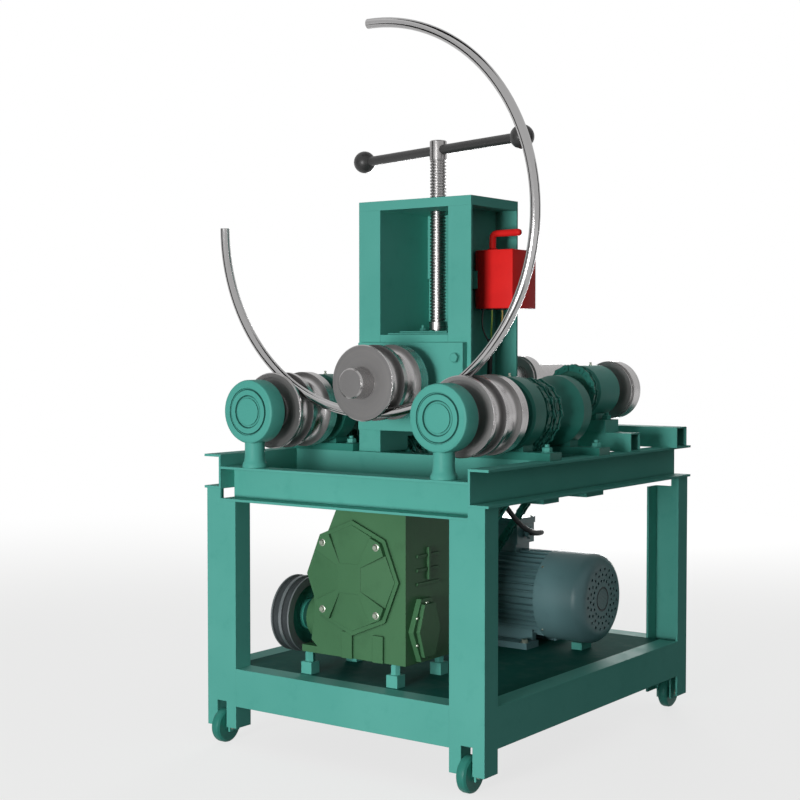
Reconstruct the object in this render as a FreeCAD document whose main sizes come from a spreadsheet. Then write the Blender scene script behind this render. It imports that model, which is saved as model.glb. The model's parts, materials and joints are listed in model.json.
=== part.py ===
import FreeCAD, Part
import math
import os
import sys

import Sketcher

Vector, Rotation, Placement = FreeCAD.Vector, FreeCAD.Rotation, FreeCAD.Placement

# Electric three-roll tube bender on a welded channel frame. Millimetres, X to the operator's right,
# Y to the back, Z up, origin on the floor under the middle of the frame.

# Driving dimensions. Each depth "...At" is measured back from the front face of the legs, and each
# height is above the floor.
DIMENSIONS = dict(
    # frame of folded channels
    frameWidth=702, frameDepth=862, channelWall=5,
    legGap=35, legWidth=80, legFlange=46,
    beamHeight=72, sideBeamFlange=46, tableTop=612, frontBeamTop=587, frontBeamFlange=48,
    crossBeamFlange=43, crossBeamOneAt=250, crossBeamTwoAt=434,
    railHeight=80, floorTop=162, bearerHeight=10, bearerHalf=25, cleatWall=12, cleatWidth=60,
    # casters
    wheelRadius=36, wheelWidth=22, wheelSetback=12, wheelInset=40, wheelSlot=26,
    slotHeight=55, axleRadius=6, forkWall=5, forkDepth=34,
    # square tubes across the side beams
    tubeWall=3, midTubeAt=577, midTubeDepth=44, midTubeHeight=40, midTubeReach=1,
    backTubeInset=107, backTubeDepth=50, backTubeHeight=46, backTubeReach=24,
    # column
    bearingRoom=94.4, postFlange=57.2, columnAt=263, columnDepth=183, columnTop=1152,
    headerWall=20, nutRadius=30, chainNotch=30,
    # slide and its keepers
    slideBottom=660, slideHeight=188, keeperInset=9.6, keeperWall=15.7, backKeeperHeight=325,
    capHeight=17, stackWall=4, stackInset=8.4, stackDepth=150, stackStep=18, studAway=40, studAcross=13,
    spindleRadius=13, spindleFlange=24,
    # lead screw
    screwAt=354.5, screwRadius=17.5, screwTop=1243, screwHead=18.5, screwHeadHeight=41,
    collarRadius=20, collarHeight=19, barRadius=10.5, barHalf=267, barTurn=16, ballRadius=25,
    # bent tube, the work that runs between the rolls
    workRadius=10, workWall=2, workRing=394, workAt=105,
    # rolls
    rollPitch=480, lowerHeight=704, lowerRollRadius=80.5, lowerRollAt=81, rollWidth=125,
    smallGroove=18, smallGrooveDepth=24, largeGroove=24, largeGrooveAt=157,
    upperRollRadius=78, upperRollAt=84, upperGrooveDepth=26, upperShaftRadius=31, upperSeat=32,
    upperNoseAt=44, upperTailAt=880, rearUpperRoll=52,
    rearHeight=742, rearRollRadius=64.5, rearRollAt=676, rearRollWidth=40, rearShaftRadius=20,
    rollSeat=25, rollShoulder=31, journal=20, rollHub=42, rollRecess=3, rollRim=10, rearLip=8,
    # bearings
    pedestalRadius=66.5, pedestalAt=5, pedestalDepth=45, pedestalNeck=21, pedestalFoot=26,
    midDrumRadius=75, midDrumAt=237, midDrumDepth=51,
    ringCut=2.5, ringInner=28, ringOuter=46, webHalf=40, rearWebHalf=27, domeStart=375, domeHub=40,
    baseWall=16, midBaseAt=246, baseDepth=46, baseRoom=4.4, baseInset=6,
    domeRadius=74.6, domeEnd=476, domeBaseAt=438,
    rearDrumRadius=56, rearDrumAt=532, rearDrumDepth=105, rearBaseHeight=27, rearBaseHalf=52,
    # roller chains
    frontPitch=25.4, frontTeeth=15, frontPlate=12, frontRow=16, frontTooth=14, frontSeat=8,
    frontRail=7, chainGap=0.4, frontPin=4, frontHub=40, rearSeat=6, rearTooth=8, rearPin=3, rearHub=34,
    driveHub=21, frontDriveTurn=12, rightRearDriveTurn=18.2, leftRearDriveTurn=14.8,
    rightChainAt=328, leftChainAt=398,
    rearPitch=19.05, rearTeeth=17, rearDriveTeeth=11, rearPlate=9,
    rightRearChainAt=519, leftRearChainAt=501, chainSide=3,
    # worm gearbox
    outputHeight=373, outputRadius=22, outputTail=16, outputEnd=533, hangerAt=446, hangerDepth=24,
    casingFront=55, casingBack=228, casingRight=130, casingBottom=208, coverHalf=108, coverFront=39,
    coverBack=49, flangeLip=9,
    casingTop=540, casingShoulder=-30, wormHousing=46, wormBossLeft=-132,
    coverBoltAway=68, facetRoot=24, facetTip=64, facetFall=9, capHigh=53, capWide=36,
    blockWidth=27, blockHeight=25, blockLeftX=-122, blockRightX=98,
    sideRibWall=3, sideRibFrom=92, sideRibTo=168, sideRibLow=366, sideRibHigh=422, sideRibBarTop=438,
    wormAt=110, wormHeight=275, wormRadius=18,
    # belt drive
    pulleyRadius=80, pulleyWidth=48, pulleyRight=-152, beltPitch=24, beltWidth=12, beltDepth=9,
    motorPulley=48,
    # motor
    motorRoom=23.125, motorHeight=278, motorBody=88, motorFin=97, motorLeft=-60, motorRight=141,
    cowlRadius=100, cowlEnd=262, cowlWall=2.5, motorShaft=14, fanDepth=30, ventRadius=2.8,
    ventFirst=26, ventStep=9,
    finWall=1.8, finCount=36, motorFootOut=92, motorFootIn=40, motorFootHeight=14, motorBoltAcross=13,
    restLeft=196, restWidth=26, restHalf=22,
    # terminal box and switch
    terminalLeft=-30, terminalRight=62, terminalFront=583, terminalBack=657,
    terminalBottom=388, terminalTop=447, glandHeight=412,
    switchGap=0.6, switchWidth=106, switchFront=337, switchBack=431, switchBottom=920,
    switchTop=1043, switchCorner=30, bracketReach=18, bracketLow=962, bracketHigh=1000, bracketDepth=20,
    leverFrom=36, leverAt=370, leverTop=1087, leverReach=71, leverRadius=7,
    # cable
    leadRadius=5.5, leadAt=393, leadTop=846, coreRadius=1.8,
    hangerHalf=50, boltAcross=18, boltHead=9,
    # fits and clearances
    runningFit=0.05, slidingGap=0.3, clearance=2,
)

doc = FreeCAD.newDocument("TubeBender")
sheet = doc.addObject("Spreadsheet::Sheet", "Sizes")
for row, (word, number) in enumerate(DIMENSIONS.items(), 1):
    sheet.set(f"A{row}", word)
    sheet.set(f"B{row}", str(number))
    sheet.setAlias(f"B{row}", word)
doc.recompute()


class Size:
    # A length as the sheet's own expression, with what it comes to now.
    def __init__(self, text, value):
        self.text, self.value = text, value

    def __add__(self, other):
        other = size(other)
        return Size(f"({self.text} + {other.text})", self.value + other.value)

    def __sub__(self, other):
        other = size(other)
        return Size(f"({self.text} - {other.text})", self.value - other.value)

    def __mul__(self, other):
        other = size(other)
        return Size(f"({self.text} * {other.text})", self.value * other.value)

    def __truediv__(self, other):
        other = size(other)
        return Size(f"({self.text} / {other.text})", self.value / other.value)

    def __neg__(self):
        return Size(f"(-1 * {self.text})", -self.value)

    def __radd__(self, other):
        return size(other) + self

    def __rsub__(self, other):
        return size(other) - self

    def __rmul__(self, other):
        return size(other) * self


def size(number):
    return number if isinstance(number, Size) else Size(f"({number})", float(number))


def root(length):
    return Size(f"sqrt({length.text})", math.sqrt(length.value))


def sine(degrees):
    return Size(f"sin({degrees.text})", math.sin(math.radians(degrees.value)))


def cosine(degrees):
    return Size(f"cos({degrees.text})", math.cos(math.radians(degrees.value)))


class Sheet:
    # Reads an alias of the spreadsheet as a Size.
    def __getattr__(self, word):
        return Size(f"Sizes.{word}", float(sheet.get(word)))


S = Sheet()
FRONT = -S.frameDepth / 2
TOP = S.tableTop
WALL = S.channelWall
FIT = S.runningFit
GAP = S.slidingGap

# Turns a cylinder's own Z to the named axis.
CYLINDER_TURN = {
    "X": Rotation(Vector(0, 1, 0), 90),
    "Y": Rotation(Vector(1, 0, 0), -90),
    "Z": Rotation(),
}
# Turns a lathe sketch's own Y to the named axis.
LATHE_TURN = {
    "X": Rotation(Vector(0, 0, 1), -90),
    "Y": Rotation(),
    "Z": Rotation(Vector(1, 0, 0), 90),
}
# Lays a profile sketch in the named plane. It is padded towards +Z, +Y and +X.
PLANE_TURN = {
    "XY": Rotation(),
    "XZ": Rotation(Vector(1, 0, 0), 90),
    "YZ": Rotation(Vector(1, 1, 1), 120),
}
ORIGIN = (0, 0, 0)
MIRROR_NAMES = ((1, "right"), (-1, "left"))


def depth(at):
    # A distance behind the front face of the legs, as the model's own Y.
    return FRONT + at


def pitch_circle(teeth, pitch):
    return pitch / (2 * sine(size(180) / teeth))


# Half widths of the two kinds of chain, and how many pitches from a wheel its straight pins start.
CHAIN_HALF = S.frontRow + S.frontTooth / 2 + S.chainGap + S.frontRail
REAR_CHAIN_HALF = S.rearTooth / 2 + S.chainGap + S.chainSide
PIN_CLEAR = 2
# From a lower roll's axis to the ring's middle, and how far the ring's lowest point is above it.
RING_REACH = S.workRing + S.lowerRollRadius - S.smallGrooveDepth + S.workRadius + GAP


def bind(thing, prop, length):
    thing.setExpression(prop, size(length).text)


def place(thing, at, turn=Rotation()):
    spot = [size(value) for value in at]
    thing.Placement = Placement(Vector(*[value.value for value in spot]), turn)
    for letter, value in zip("xyz", spot):
        bind(thing, "Placement.Base." + letter, value)
    return thing


def plain(text):
    return "".join(part.capitalize() for part in text.split("_"))


def ordered(one, other):
    one, other = size(one), size(other)
    return (one, other) if one.value <= other.value else (other, one)


def box(label, corner, opposite):
    thing = doc.addObject("Part::Box", plain(label))
    spans = [ordered(one, other) for one, other in zip(corner, opposite)]
    for prop, (start, end) in zip(("Length", "Width", "Height"), spans):
        bind(thing, prop, end - start)
    thing.Label = label
    return place(thing, [start for start, _ in spans])


def cylinder(label, radius, length, at, axis="Z"):
    thing = doc.addObject("Part::Cylinder", plain(label))
    bind(thing, "Radius", radius)
    bind(thing, "Height", length)
    thing.Label = label
    return place(thing, at, CYLINDER_TURN[axis])


def hexagon(label, across, length, at, axis="Z"):
    thing = doc.addObject("Part::Prism", plain(label))
    thing.Polygon = 6
    bind(thing, "Circumradius", size(across) / math.sqrt(3))
    bind(thing, "Height", length)
    thing.Label = label
    return place(thing, at, CYLINDER_TURN[axis])


def ball(label, radius, at, axis="Z"):
    thing = doc.addObject("Part::Sphere", plain(label))
    bind(thing, "Radius", radius)
    thing.Label = label
    return place(thing, at, CYLINDER_TURN[axis])


def cut(label, base, *tools):
    thing = doc.addObject("Part::Cut", plain(label))
    thing.Base = base
    thing.Tool = tools[0] if len(tools) == 1 else fuse(label + "_tools", *tools)
    thing.Label = label
    return thing


def fuse(label, *pieces):
    thing = doc.addObject("Part::MultiFuse", plain(label))
    thing.Shapes = list(pieces)
    thing.Refine = True
    thing.Label = label
    return thing


def solid_feature(label, shape, at=ORIGIN, turn=Rotation()):
    thing = doc.addObject("Part::Feature", plain(label))
    thing.Shape = shape
    thing.Label = label
    return place(thing, at, turn)


def new_body(label, at, turn):
    body = doc.addObject("PartDesign::Body", plain(label))
    body.Label = label
    place(body, at, turn)
    return body


def new_sketch(body, name, role="XY_Plane"):
    sketch = body.newObject("Sketcher::SketchObject", body.Name + name)
    plane = [f for f in body.Origin.OriginFeatures if f.Role == role][0]
    sketch.AttachmentSupport = [(plane, "")]
    sketch.MapMode = "FlatFace"
    return sketch


def pin_point(sketch, edge, point, u, v):
    for kind, value in (("DistanceX", u), ("DistanceY", v)):
        rule = Sketcher.Constraint(kind, -1, 1, edge, point, value.value)
        number = sketch.addConstraint(rule)
        bind(sketch, f"Constraints[{number}]", value)


def draw_polygon(sketch, points):
    points = [(size(u), size(v)) for u, v in points]
    first = sketch.GeometryCount
    corners = [Vector(u.value, v.value, 0) for u, v in points]
    count = len(corners)
    for n in range(count):
        sketch.addGeometry(Part.LineSegment(corners[n], corners[(n + 1) % count]), False)
    for n in range(count):
        rule = Sketcher.Constraint("Coincident", first + n, 2, first + (n + 1) % count, 1)
        sketch.addConstraint(rule)
    for n, (u, v) in enumerate(points):
        pin_point(sketch, first + n, 1, u, v)


def draw_circle(sketch, u, v, radius):
    u, v, radius = size(u), size(v), size(radius)
    middle = Vector(u.value, v.value, 0)
    edge = sketch.addGeometry(Part.Circle(middle, Vector(0, 0, 1), radius.value), False)
    pin_point(sketch, edge, 3, u, v)
    number = sketch.addConstraint(Sketcher.Constraint("Radius", edge, radius.value))
    bind(sketch, f"Constraints[{number}]", radius)


def turned(label, axis, at, outline, bore=0, round_cuts=(), square_cuts=()):
    # A lathe piece. The outline lists (distance along the axis, radius), and the cuts are rings.
    body = new_body(label, at, LATHE_TURN[axis])
    sketch = new_sketch(body, "Outline")
    points = [(bore, outline[0][0])] + [(radius, along) for along, radius in outline]
    points.append((bore, outline[-1][0]))
    if size(bore).value == 0:
        points = [p for n, p in enumerate(points) if n == 0 or size(p[0]).value or n == len(points) - 1]
    draw_polygon(sketch, points)
    feature = body.newObject("PartDesign::Revolution", body.Name + "Turn")
    feature.Profile = sketch
    feature.ReferenceAxis = (sketch, ["V_Axis"])
    feature.Angle = 360
    for n, (along, radius, ring) in enumerate(round_cuts):
        ring_sketch = new_sketch(body, f"Ring{n}")
        draw_circle(ring_sketch, radius, along, ring)
        add_ring_cut(body, ring_sketch, f"Groove{n}")
    for n, (start, end, low, high) in enumerate(square_cuts):
        slot_sketch = new_sketch(body, f"Slot{n}")
        draw_polygon(slot_sketch, [(low, start), (high, start), (high, end), (low, end)])
        add_ring_cut(body, slot_sketch, f"Channel{n}")
    return body


def add_ring_cut(body, sketch, name):
    groove = body.newObject("PartDesign::Groove", body.Name + name)
    groove.Profile = sketch
    groove.ReferenceAxis = (sketch, ["V_Axis"])
    groove.Angle = 360


def padded(label, plane, at, outline, length, holes=()):
    # A flat profile with round holes, padded square to its plane.
    body = new_body(label, at, PLANE_TURN[plane])
    sketch = new_sketch(body, "Profile")
    draw_polygon(sketch, outline)
    for u, v, radius in holes:
        draw_circle(sketch, u, v, radius)
    add_pad(body, sketch, "Pad", length, plane == "XZ")
    return body


def add_pad(body, sketch, name, length, backwards):
    pad = body.newObject("PartDesign::Pad", body.Name + name)
    pad.Profile = sketch
    pad.Reversed = backwards
    bind(pad, "Length", length)
    return pad


def repeat_round(body, feature, count):
    # Copies a feature around the sketch's own middle, square to the profile.
    pattern = body.newObject("PartDesign::PolarPattern", feature.Name + "Ring")
    pattern.Originals = [feature]
    pattern.Axis = (feature.Profile[0], ["N_Axis"])
    pattern.Angle = 360
    bind(pattern, "Occurrences", count)
    body.Tip = pattern
    return pattern


def channel(u_web, u_tip, v_low, v_high, wall):
    # A channel's section with its web at u_web, and flanges that reach u_tip.
    inner = u_web + wall
    return [
        (u_web, v_low), (u_tip, v_low), (u_tip, v_low + WALL), (inner, v_low + WALL),
        (inner, v_high - WALL), (u_tip, v_high - WALL), (u_tip, v_high), (u_web, v_high),
    ]


nodes = {}


def node(name, *pieces):
    # One file of the model. Several pieces stay separate solids.
    if len(pieces) == 1:
        thing = pieces[0]
    else:
        thing = doc.addObject("Part::Compound", plain(name) + "Set")
        thing.Links = list(pieces)
    thing.Label = name
    nodes[name] = thing
    return thing


# ---- frame ----
SIDE_WEB = S.frameWidth / 2 - S.legWidth / 2 + 1.5
SIDE_BOTTOM = TOP - S.beamHeight
FRONT_BOTTOM = S.frontBeamTop - S.beamHeight
WHEEL_X = S.frameWidth / 2 - S.wheelInset


def leg(name, side, end):
    # A channel with its web outwards, notched under the front beam and slotted for its wheel.
    face = end * FRONT
    middle = side * (S.frameWidth - S.legWidth) / 2
    half, flange, wall = S.legWidth / 2, end * S.legFlange, end * WALL
    outline = [
        (-half, 0), (half, 0), (half, flange), (half - WALL, flange),
        (half - WALL, wall), (WALL - half, wall), (WALL - half, flange), (-half, flange),
    ]
    height = SIDE_BOTTOM - S.legGap
    post = padded(name + "_channel", "XY", (middle, face, S.legGap), outline, height)
    notch = box(
        name + "_notch",
        (middle - side * S.legWidth, face - end, FRONT_BOTTOM),
        (side * SIDE_WEB, face + flange + end, SIDE_BOTTOM + 1),
    )
    slot = box(
        name + "_slot",
        (side * WHEEL_X - S.wheelSlot / 2, face - end, S.legGap - 1),
        (side * WHEEL_X + S.wheelSlot / 2, face + wall + end, S.legGap + S.slotHeight),
    )
    return cut(name, post, notch, slot)


for side, side_name in MIRROR_NAMES:
    node(f"leg_front_{side_name}", leg(f"leg_front_{side_name}", side, 1))
    node(f"leg_back_{side_name}", leg(f"leg_back_{side_name}", side, -1))

side_beams = []
for side, side_name in MIRROR_NAMES:
    section = channel(0, side * S.sideBeamFlange, 0, S.beamHeight, side * WALL)
    spot = (side * SIDE_WEB, FRONT, SIDE_BOTTOM)
    side_beams.append(padded(f"side_beam_{side_name}", "XZ", spot, section, S.frameDepth))
node("side_beams", *side_beams)

section = channel(S.frontBeamFlange, 0, 0, S.beamHeight, -WALL)
node("front_beam", padded("front_beam", "YZ", (-SIDE_WEB, FRONT, FRONT_BOTTOM), section, 2 * SIDE_WEB))


def cross_beam(name, at, cleat_from, cleat_to):
    # A channel between the side beams, with a cleat under each end.
    section = channel(0, S.crossBeamFlange, 0, S.beamHeight, WALL)
    beam = padded(name + "_channel", "YZ", (-SIDE_WEB, depth(at), SIDE_BOTTOM), section, 2 * SIDE_WEB)
    cleats = [
        box(
            f"{name}_cleat_{side_name}",
            (side * (SIDE_WEB - S.cleatWidth / 2), depth(cleat_from), SIDE_BOTTOM - S.cleatWall),
            (side * (SIDE_WEB + S.cleatWidth / 2), depth(cleat_to), SIDE_BOTTOM),
        )
        for side, side_name in MIRROR_NAMES
    ]
    node(name, beam, *cleats)


cross_beam("second_beam", S.crossBeamOneAt, S.crossBeamOneAt - 24, S.crossBeamOneAt + 36)
cross_beam("third_beam", S.crossBeamTwoAt, S.crossBeamTwoAt - 34, S.crossBeamTwoAt + 38)

# the motor stands just behind the output shaft's end
MOTOR_DROP = S.outputHeight - S.outputRadius - S.motorHeight
MOTOR_AT = S.outputEnd + root(S.motorFin * S.motorFin - MOTOR_DROP * MOTOR_DROP) + S.motorRoom

RAIL_BOTTOM = S.floorTop - S.railHeight
LEG_INNER = S.frameWidth / 2 - S.legWidth
RAIL_INNER = S.frameWidth / 2 - S.legFlange
rails = []
for end, end_name in ((1, "front"), (-1, "back")):
    section = channel(0, end * S.legFlange, 0, S.railHeight, end * WALL)
    spot = (-LEG_INNER, end * FRONT, RAIL_BOTTOM)
    rails.append(padded(f"rail_{end_name}", "YZ", spot, section, 2 * LEG_INNER))
for side, side_name in MIRROR_NAMES:
    section = channel(0, -side * S.legFlange, 0, S.railHeight, -side * WALL)
    spot = (side * S.frameWidth / 2, FRONT + S.legFlange, RAIL_BOTTOM)
    rails.append(padded(f"rail_{side_name}", "XZ", spot, section, S.frameDepth - 2 * S.legFlange))
node("bottom_rails", *rails)

floor = box(
    "floor_sheet",
    (-RAIL_INNER, FRONT + S.legFlange, S.floorTop - WALL),
    (RAIL_INNER, -FRONT - S.legFlange, S.floorTop),
)
bearers = [
    box(
        f"floor_bearer_{n}",
        (WALL - S.frameWidth / 2, depth(at) - S.bearerHalf, S.floorTop - WALL - S.bearerHeight),
        (S.frameWidth / 2 - WALL, depth(at) + S.bearerHalf, S.floorTop - WALL),
    )
    for n, at in enumerate((S.legFlange + S.bearerHalf + GAP, S.casingBack, MOTOR_AT))
]
node("floor_plate", floor, *bearers)


def square_tube(name, half, at, across, height):
    outer = box(name + "_outer", (-half, depth(at), TOP), (half, depth(at + across), TOP + height))
    wall = S.tubeWall
    inner = box(
        name + "_inner",
        (-half - 1, depth(at) + wall, TOP + wall),
        (half + 1, depth(at + across) - wall, TOP + height - wall),
    )
    return cut(name, outer, inner)


node(
    "cross_tubes",
    square_tube(
        "middle_tube", S.frameWidth / 2 + S.midTubeReach, S.midTubeAt, S.midTubeDepth, S.midTubeHeight,
    ),
    square_tube(
        "back_tube", S.frameWidth / 2 + S.backTubeReach, S.frameDepth - S.backTubeInset,
        S.backTubeDepth, S.backTubeHeight,
    ),
)

# ---- casters: a wheel in the slot of each leg, on a pin between two fork plates ----
forks = []
for side, side_name in MIRROR_NAMES:
    for end, end_name in ((1, "front"), (-1, "back")):
        tag = f"{end_name}_{side_name}"
        hub = (side * WHEEL_X, end * (FRONT + S.wheelSetback), S.wheelRadius)
        half = S.wheelWidth / 2
        outline = [
            (-half, S.wheelRadius - 5), (3 - half, S.wheelRadius - 1), (6 - half, S.wheelRadius),
            (half - 6, S.wheelRadius), (half - 3, S.wheelRadius - 1), (half, S.wheelRadius - 5),
            (half, S.axleRadius + 6), (half + 1, S.axleRadius + 6), (half + 1, S.axleRadius + 3),
        ]
        boss = S.axleRadius + 6
        outline = [(-half - 1, S.axleRadius + 3), (-half - 1, boss), (-half, boss)] + outline
        node(f"wheel_{tag}", turned(f"wheel_{tag}", "X", hub, outline, S.axleRadius + FIT))
        plates = []
        for away in (1, -1):
            inner = hub[0] + away * (S.wheelSlot / 2 + GAP)
            plates.append(box(
                f"fork_{tag}_{away}".replace("-1", "2"),
                (inner, end * (FRONT + WALL), S.wheelRadius - S.axleRadius - 6),
                (inner + away * S.forkWall, end * (FRONT + S.forkDepth), S.legGap + S.slotHeight),
            ))
        reach = S.wheelSlot / 2 + GAP + S.forkWall + 3
        pin = cylinder(f"fork_pin_{tag}", S.axleRadius, 2 * reach, (hub[0] - reach, hub[1], hub[2]), "X")
        forks.append(fuse(f"fork_{tag}", pin, *plates))
node("caster_forks", *forks)

# ---- column ----
COLUMN_HALF = S.rollPitch / 2 - S.bearingRoom
POST_WEB = COLUMN_HALF - S.postFlange
SWITCH_LEFT = POST_WEB + WALL + S.switchGap
HEADER_BOTTOM = S.columnTop - S.headerWall
COLUMN_FRONT = depth(S.columnAt)
COLUMN_BACK = depth(S.columnAt + S.columnDepth)
for side, side_name in MIRROR_NAMES:
    name = f"post_{side_name}"
    outline = channel(side * POST_WEB, side * COLUMN_HALF, 0, S.columnDepth, side * WALL)
    post = padded(name + "_channel", "XY", (0, COLUMN_FRONT, TOP), outline, HEADER_BOTTOM - TOP)
    chain_at = depth(S.rightChainAt if side > 0 else S.leftChainAt)
    reach = CHAIN_HALF + 4
    notch = box(
        name + "_notch",
        (side * (POST_WEB - 1), chain_at - reach, TOP - 1),
        (side * (POST_WEB + WALL + 1), chain_at + reach, TOP + S.chainNotch),
    )
    pieces = [cut(name + "_notched", post, notch)]
    if side > 0:
        # plate that carries the switch
        pieces.append(box(
            "switch_bracket",
            (POST_WEB + WALL, depth(S.switchFront) + 1, S.bracketLow),
            (SWITCH_LEFT + S.bracketReach, depth(S.switchFront) + S.bracketDepth, S.bracketHigh),
        ))
    node(name, *pieces)

screw_y = depth(S.screwAt)
header = cut(
    "header",
    box(
        "header_plate",
        (-COLUMN_HALF, COLUMN_FRONT, HEADER_BOTTOM),
        (COLUMN_HALF, COLUMN_BACK, S.columnTop),
    ),
    cylinder("header_hole", S.nutRadius, S.headerWall + 2, (0, screw_y, HEADER_BOTTOM - 1)),
)
nut = turned(
    "screw_nut", "Z", (0, screw_y, HEADER_BOTTOM),
    [(0, S.nutRadius), (S.headerWall, S.nutRadius)], S.screwRadius + FIT,
)
node("column_header", header, nut)
BACK_PLATE_BOTTOM = S.slideBottom + S.backKeeperHeight + 7
node("column_back_plate", box(
    "column_back_plate",
    (-POST_WEB, COLUMN_BACK - WALL, BACK_PLATE_BOTTOM),
    (POST_WEB, COLUMN_BACK, HEADER_BOTTOM),
))

# ---- slide: block between the posts, keepers over their flanges, thrust plates on top ----
SLIDE_TOP = S.slideBottom + S.slideHeight
RING_Z = S.lowerHeight + root(RING_REACH * RING_REACH - S.rollPitch * S.rollPitch / 4)
UPPER_Z = RING_Z - S.workRing + S.workRadius + GAP + S.upperRollRadius - S.upperGrooveDepth
BLOCK_FRONT = COLUMN_FRONT - GAP
BLOCK_BACK = COLUMN_BACK + GAP


def through_hole(name, radius, front, back):
    return cylinder(name, radius, back - front + 2, (0, front - 1, UPPER_Z), "Y")


node("slide_block", cut(
    "slide_block",
    box(
        "slide_block_solid",
        (GAP - POST_WEB, BLOCK_FRONT, S.slideBottom),
        (POST_WEB - GAP, BLOCK_BACK, SLIDE_TOP),
    ),
    through_hole("slide_bore", S.upperShaftRadius + FIT, BLOCK_FRONT, BLOCK_BACK),
))
keepers = []
for label, inner, away, height in (
    ("front_keeper", BLOCK_FRONT, -1, S.slideHeight),
    ("back_keeper", BLOCK_BACK, 1, S.backKeeperHeight),
):
    outer = inner + away * S.keeperWall
    plate = box(
        label + "_plate",
        (S.keeperInset - COLUMN_HALF, inner, S.slideBottom),
        (COLUMN_HALF - S.keeperInset, outer, S.slideBottom + height),
    )
    front, back = ordered(inner, outer)
    hole = through_hole(label + "_hole", S.upperShaftRadius + S.clearance, front, back)
    keepers.append(cut(label, plate, hole))
node("slide_keepers", *keepers)

STACK_LAYERS = (
    # thickness, half width, front, back, radius of the hole
    (S.capHeight, POST_WEB - GAP, COLUMN_FRONT, COLUMN_BACK - WALL - S.clearance, S.spindleFlange + GAP),
    (
        S.stackWall, POST_WEB - S.stackInset, screw_y - S.stackDepth / 2,
        screw_y + S.stackDepth / 2, S.spindleRadius + GAP,
    ),
    (
        S.stackWall, POST_WEB - S.stackInset - S.stackStep, screw_y - S.stackDepth / 2 + S.stackStep,
        screw_y + S.stackDepth / 2 - S.stackStep, S.spindleRadius + GAP,
    ),
)
stack = []
STACK_TOP = SLIDE_TOP
for n, (thickness, half, front, back, radius) in enumerate(STACK_LAYERS):
    plate = box(f"stack_plate_{n}", (-half, front, STACK_TOP), (half, back, STACK_TOP + thickness))
    hole = cylinder(f"stack_hole_{n}", radius, thickness + 2, (0, screw_y, STACK_TOP - 1))
    stack.append(cut(f"stack_layer_{n}", plate, hole))
    STACK_TOP = STACK_TOP + thickness
for side, side_name in MIRROR_NAMES:
    nut_at = (side * S.studAway, screw_y, STACK_TOP)
    head = hexagon(f"stack_nut_{side_name}", S.studAcross, S.studAcross / 2, nut_at)
    stud = cylinder(f"stack_stud_{side_name}", S.studAcross / 4, S.studAcross, nut_at)
    stack.append(fuse(f"stack_fastener_{side_name}", head, stud))
node("thrust_plates", *stack)
KEEPER_BOLT_X = COLUMN_HALF - S.keeperInset - 18
node("slide_bolts", *[
    hexagon(
        f"slide_bolt_{side_name}_{level}", S.boltAcross, S.boltHead,
        (side * KEEPER_BOLT_X, BLOCK_FRONT - S.keeperWall - S.boltHead, S.slideBottom + height), "Y",
    )
    for side, side_name in MIRROR_NAMES
    for level, height in (("low", 31), ("high", S.slideHeight - 31))
])

# ---- lead screw and its bar ----
lift = SLIDE_TOP + GAP
head_top = S.screwTop + S.screwHeadHeight
bar_z = S.screwTop + S.screwHeadHeight / 2
spindle_top = STACK_TOP + S.clearance
screw = turned("screw_turning", "Z", (0, 0, 0), [
    (lift, S.spindleFlange), (SLIDE_TOP + S.capHeight - GAP, S.spindleFlange),
    (SLIDE_TOP + S.capHeight - GAP, S.spindleRadius), (spindle_top, S.spindleRadius),
    (spindle_top, S.collarRadius), (spindle_top + S.collarHeight, S.collarRadius),
    (spindle_top + S.collarHeight, S.screwRadius), (S.screwTop, S.screwRadius),
    (S.screwTop, S.screwHead), (head_top - 2, S.screwHead), (head_top, S.screwHead - 2),
])
cross_hole = cylinder(
    "screw_cross_hole", S.barRadius + FIT, 4 * S.screwHead, (-2 * S.screwHead, 0, bar_z), "X",
)
lead_screw = cut("lead_screw", screw, cross_hole)
rod = cylinder("bar_rod", S.barRadius, 2 * S.barHalf, (-S.barHalf, 0, bar_z), "X")
knobs = [ball(f"bar_ball_{n}", S.ballRadius, (side * S.barHalf, 0, bar_z), "X") for side, n in MIRROR_NAMES]
tommy_bar = fuse("tommy_bar", rod, *knobs)
for thing in (lead_screw, tommy_bar):
    place(thing, (0, screw_y, 0), Rotation(Vector(0, 0, -1), S.barTurn.value))
    bind(thing, "Placement.Rotation.Angle", S.barTurn)
node("lead_screw", lead_screw)
node("tommy_bar", tommy_bar)

# ---- the tube being bent: three quarters of a ring that rests in the lower rolls ----
RING_TURN = Rotation(Vector(-1, 0, 0), Vector(0, 0, -1), Vector(0, -1, 0), "XYZ")


def ring_part(label, radius):
    ring = doc.addObject("Part::Torus", plain(label))
    bind(ring, "Radius1", S.workRing)
    bind(ring, "Radius2", radius)
    bind(ring, "Angle3", 270)
    return place(ring, (0, depth(S.workAt), RING_Z), RING_TURN)


node("bent_tube", cut(
    "bent_tube", ring_part("tube_outside", S.workRadius), ring_part("tube_inside", S.workRadius - S.workWall),
))

# ---- rolls ----


def grooved_roll(name, x, z, at, radius, small_depth, bore, recessed):
    small = S.workAt - at
    large = S.largeGrooveAt - at
    floor_radius = radius - small_depth
    outline = [(0, radius - 2), (2, radius), (S.rollWidth - 2, radius), (S.rollWidth, radius - 2)]
    if recessed:
        outline = [
            (0, S.rollHub), (S.rollRecess, S.rollHub),
            (S.rollRecess, radius - S.rollRim), (0, radius - S.rollRim),
        ] + outline
    return turned(
        name, "Y", (x, depth(at), z), outline, bore + FIT,
        [(small, floor_radius + S.smallGroove, S.smallGroove), (large, radius, S.largeGroove)],
        [(small - S.smallGroove, small + S.smallGroove, floor_radius + S.smallGroove, radius + 1)],
    )


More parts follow.
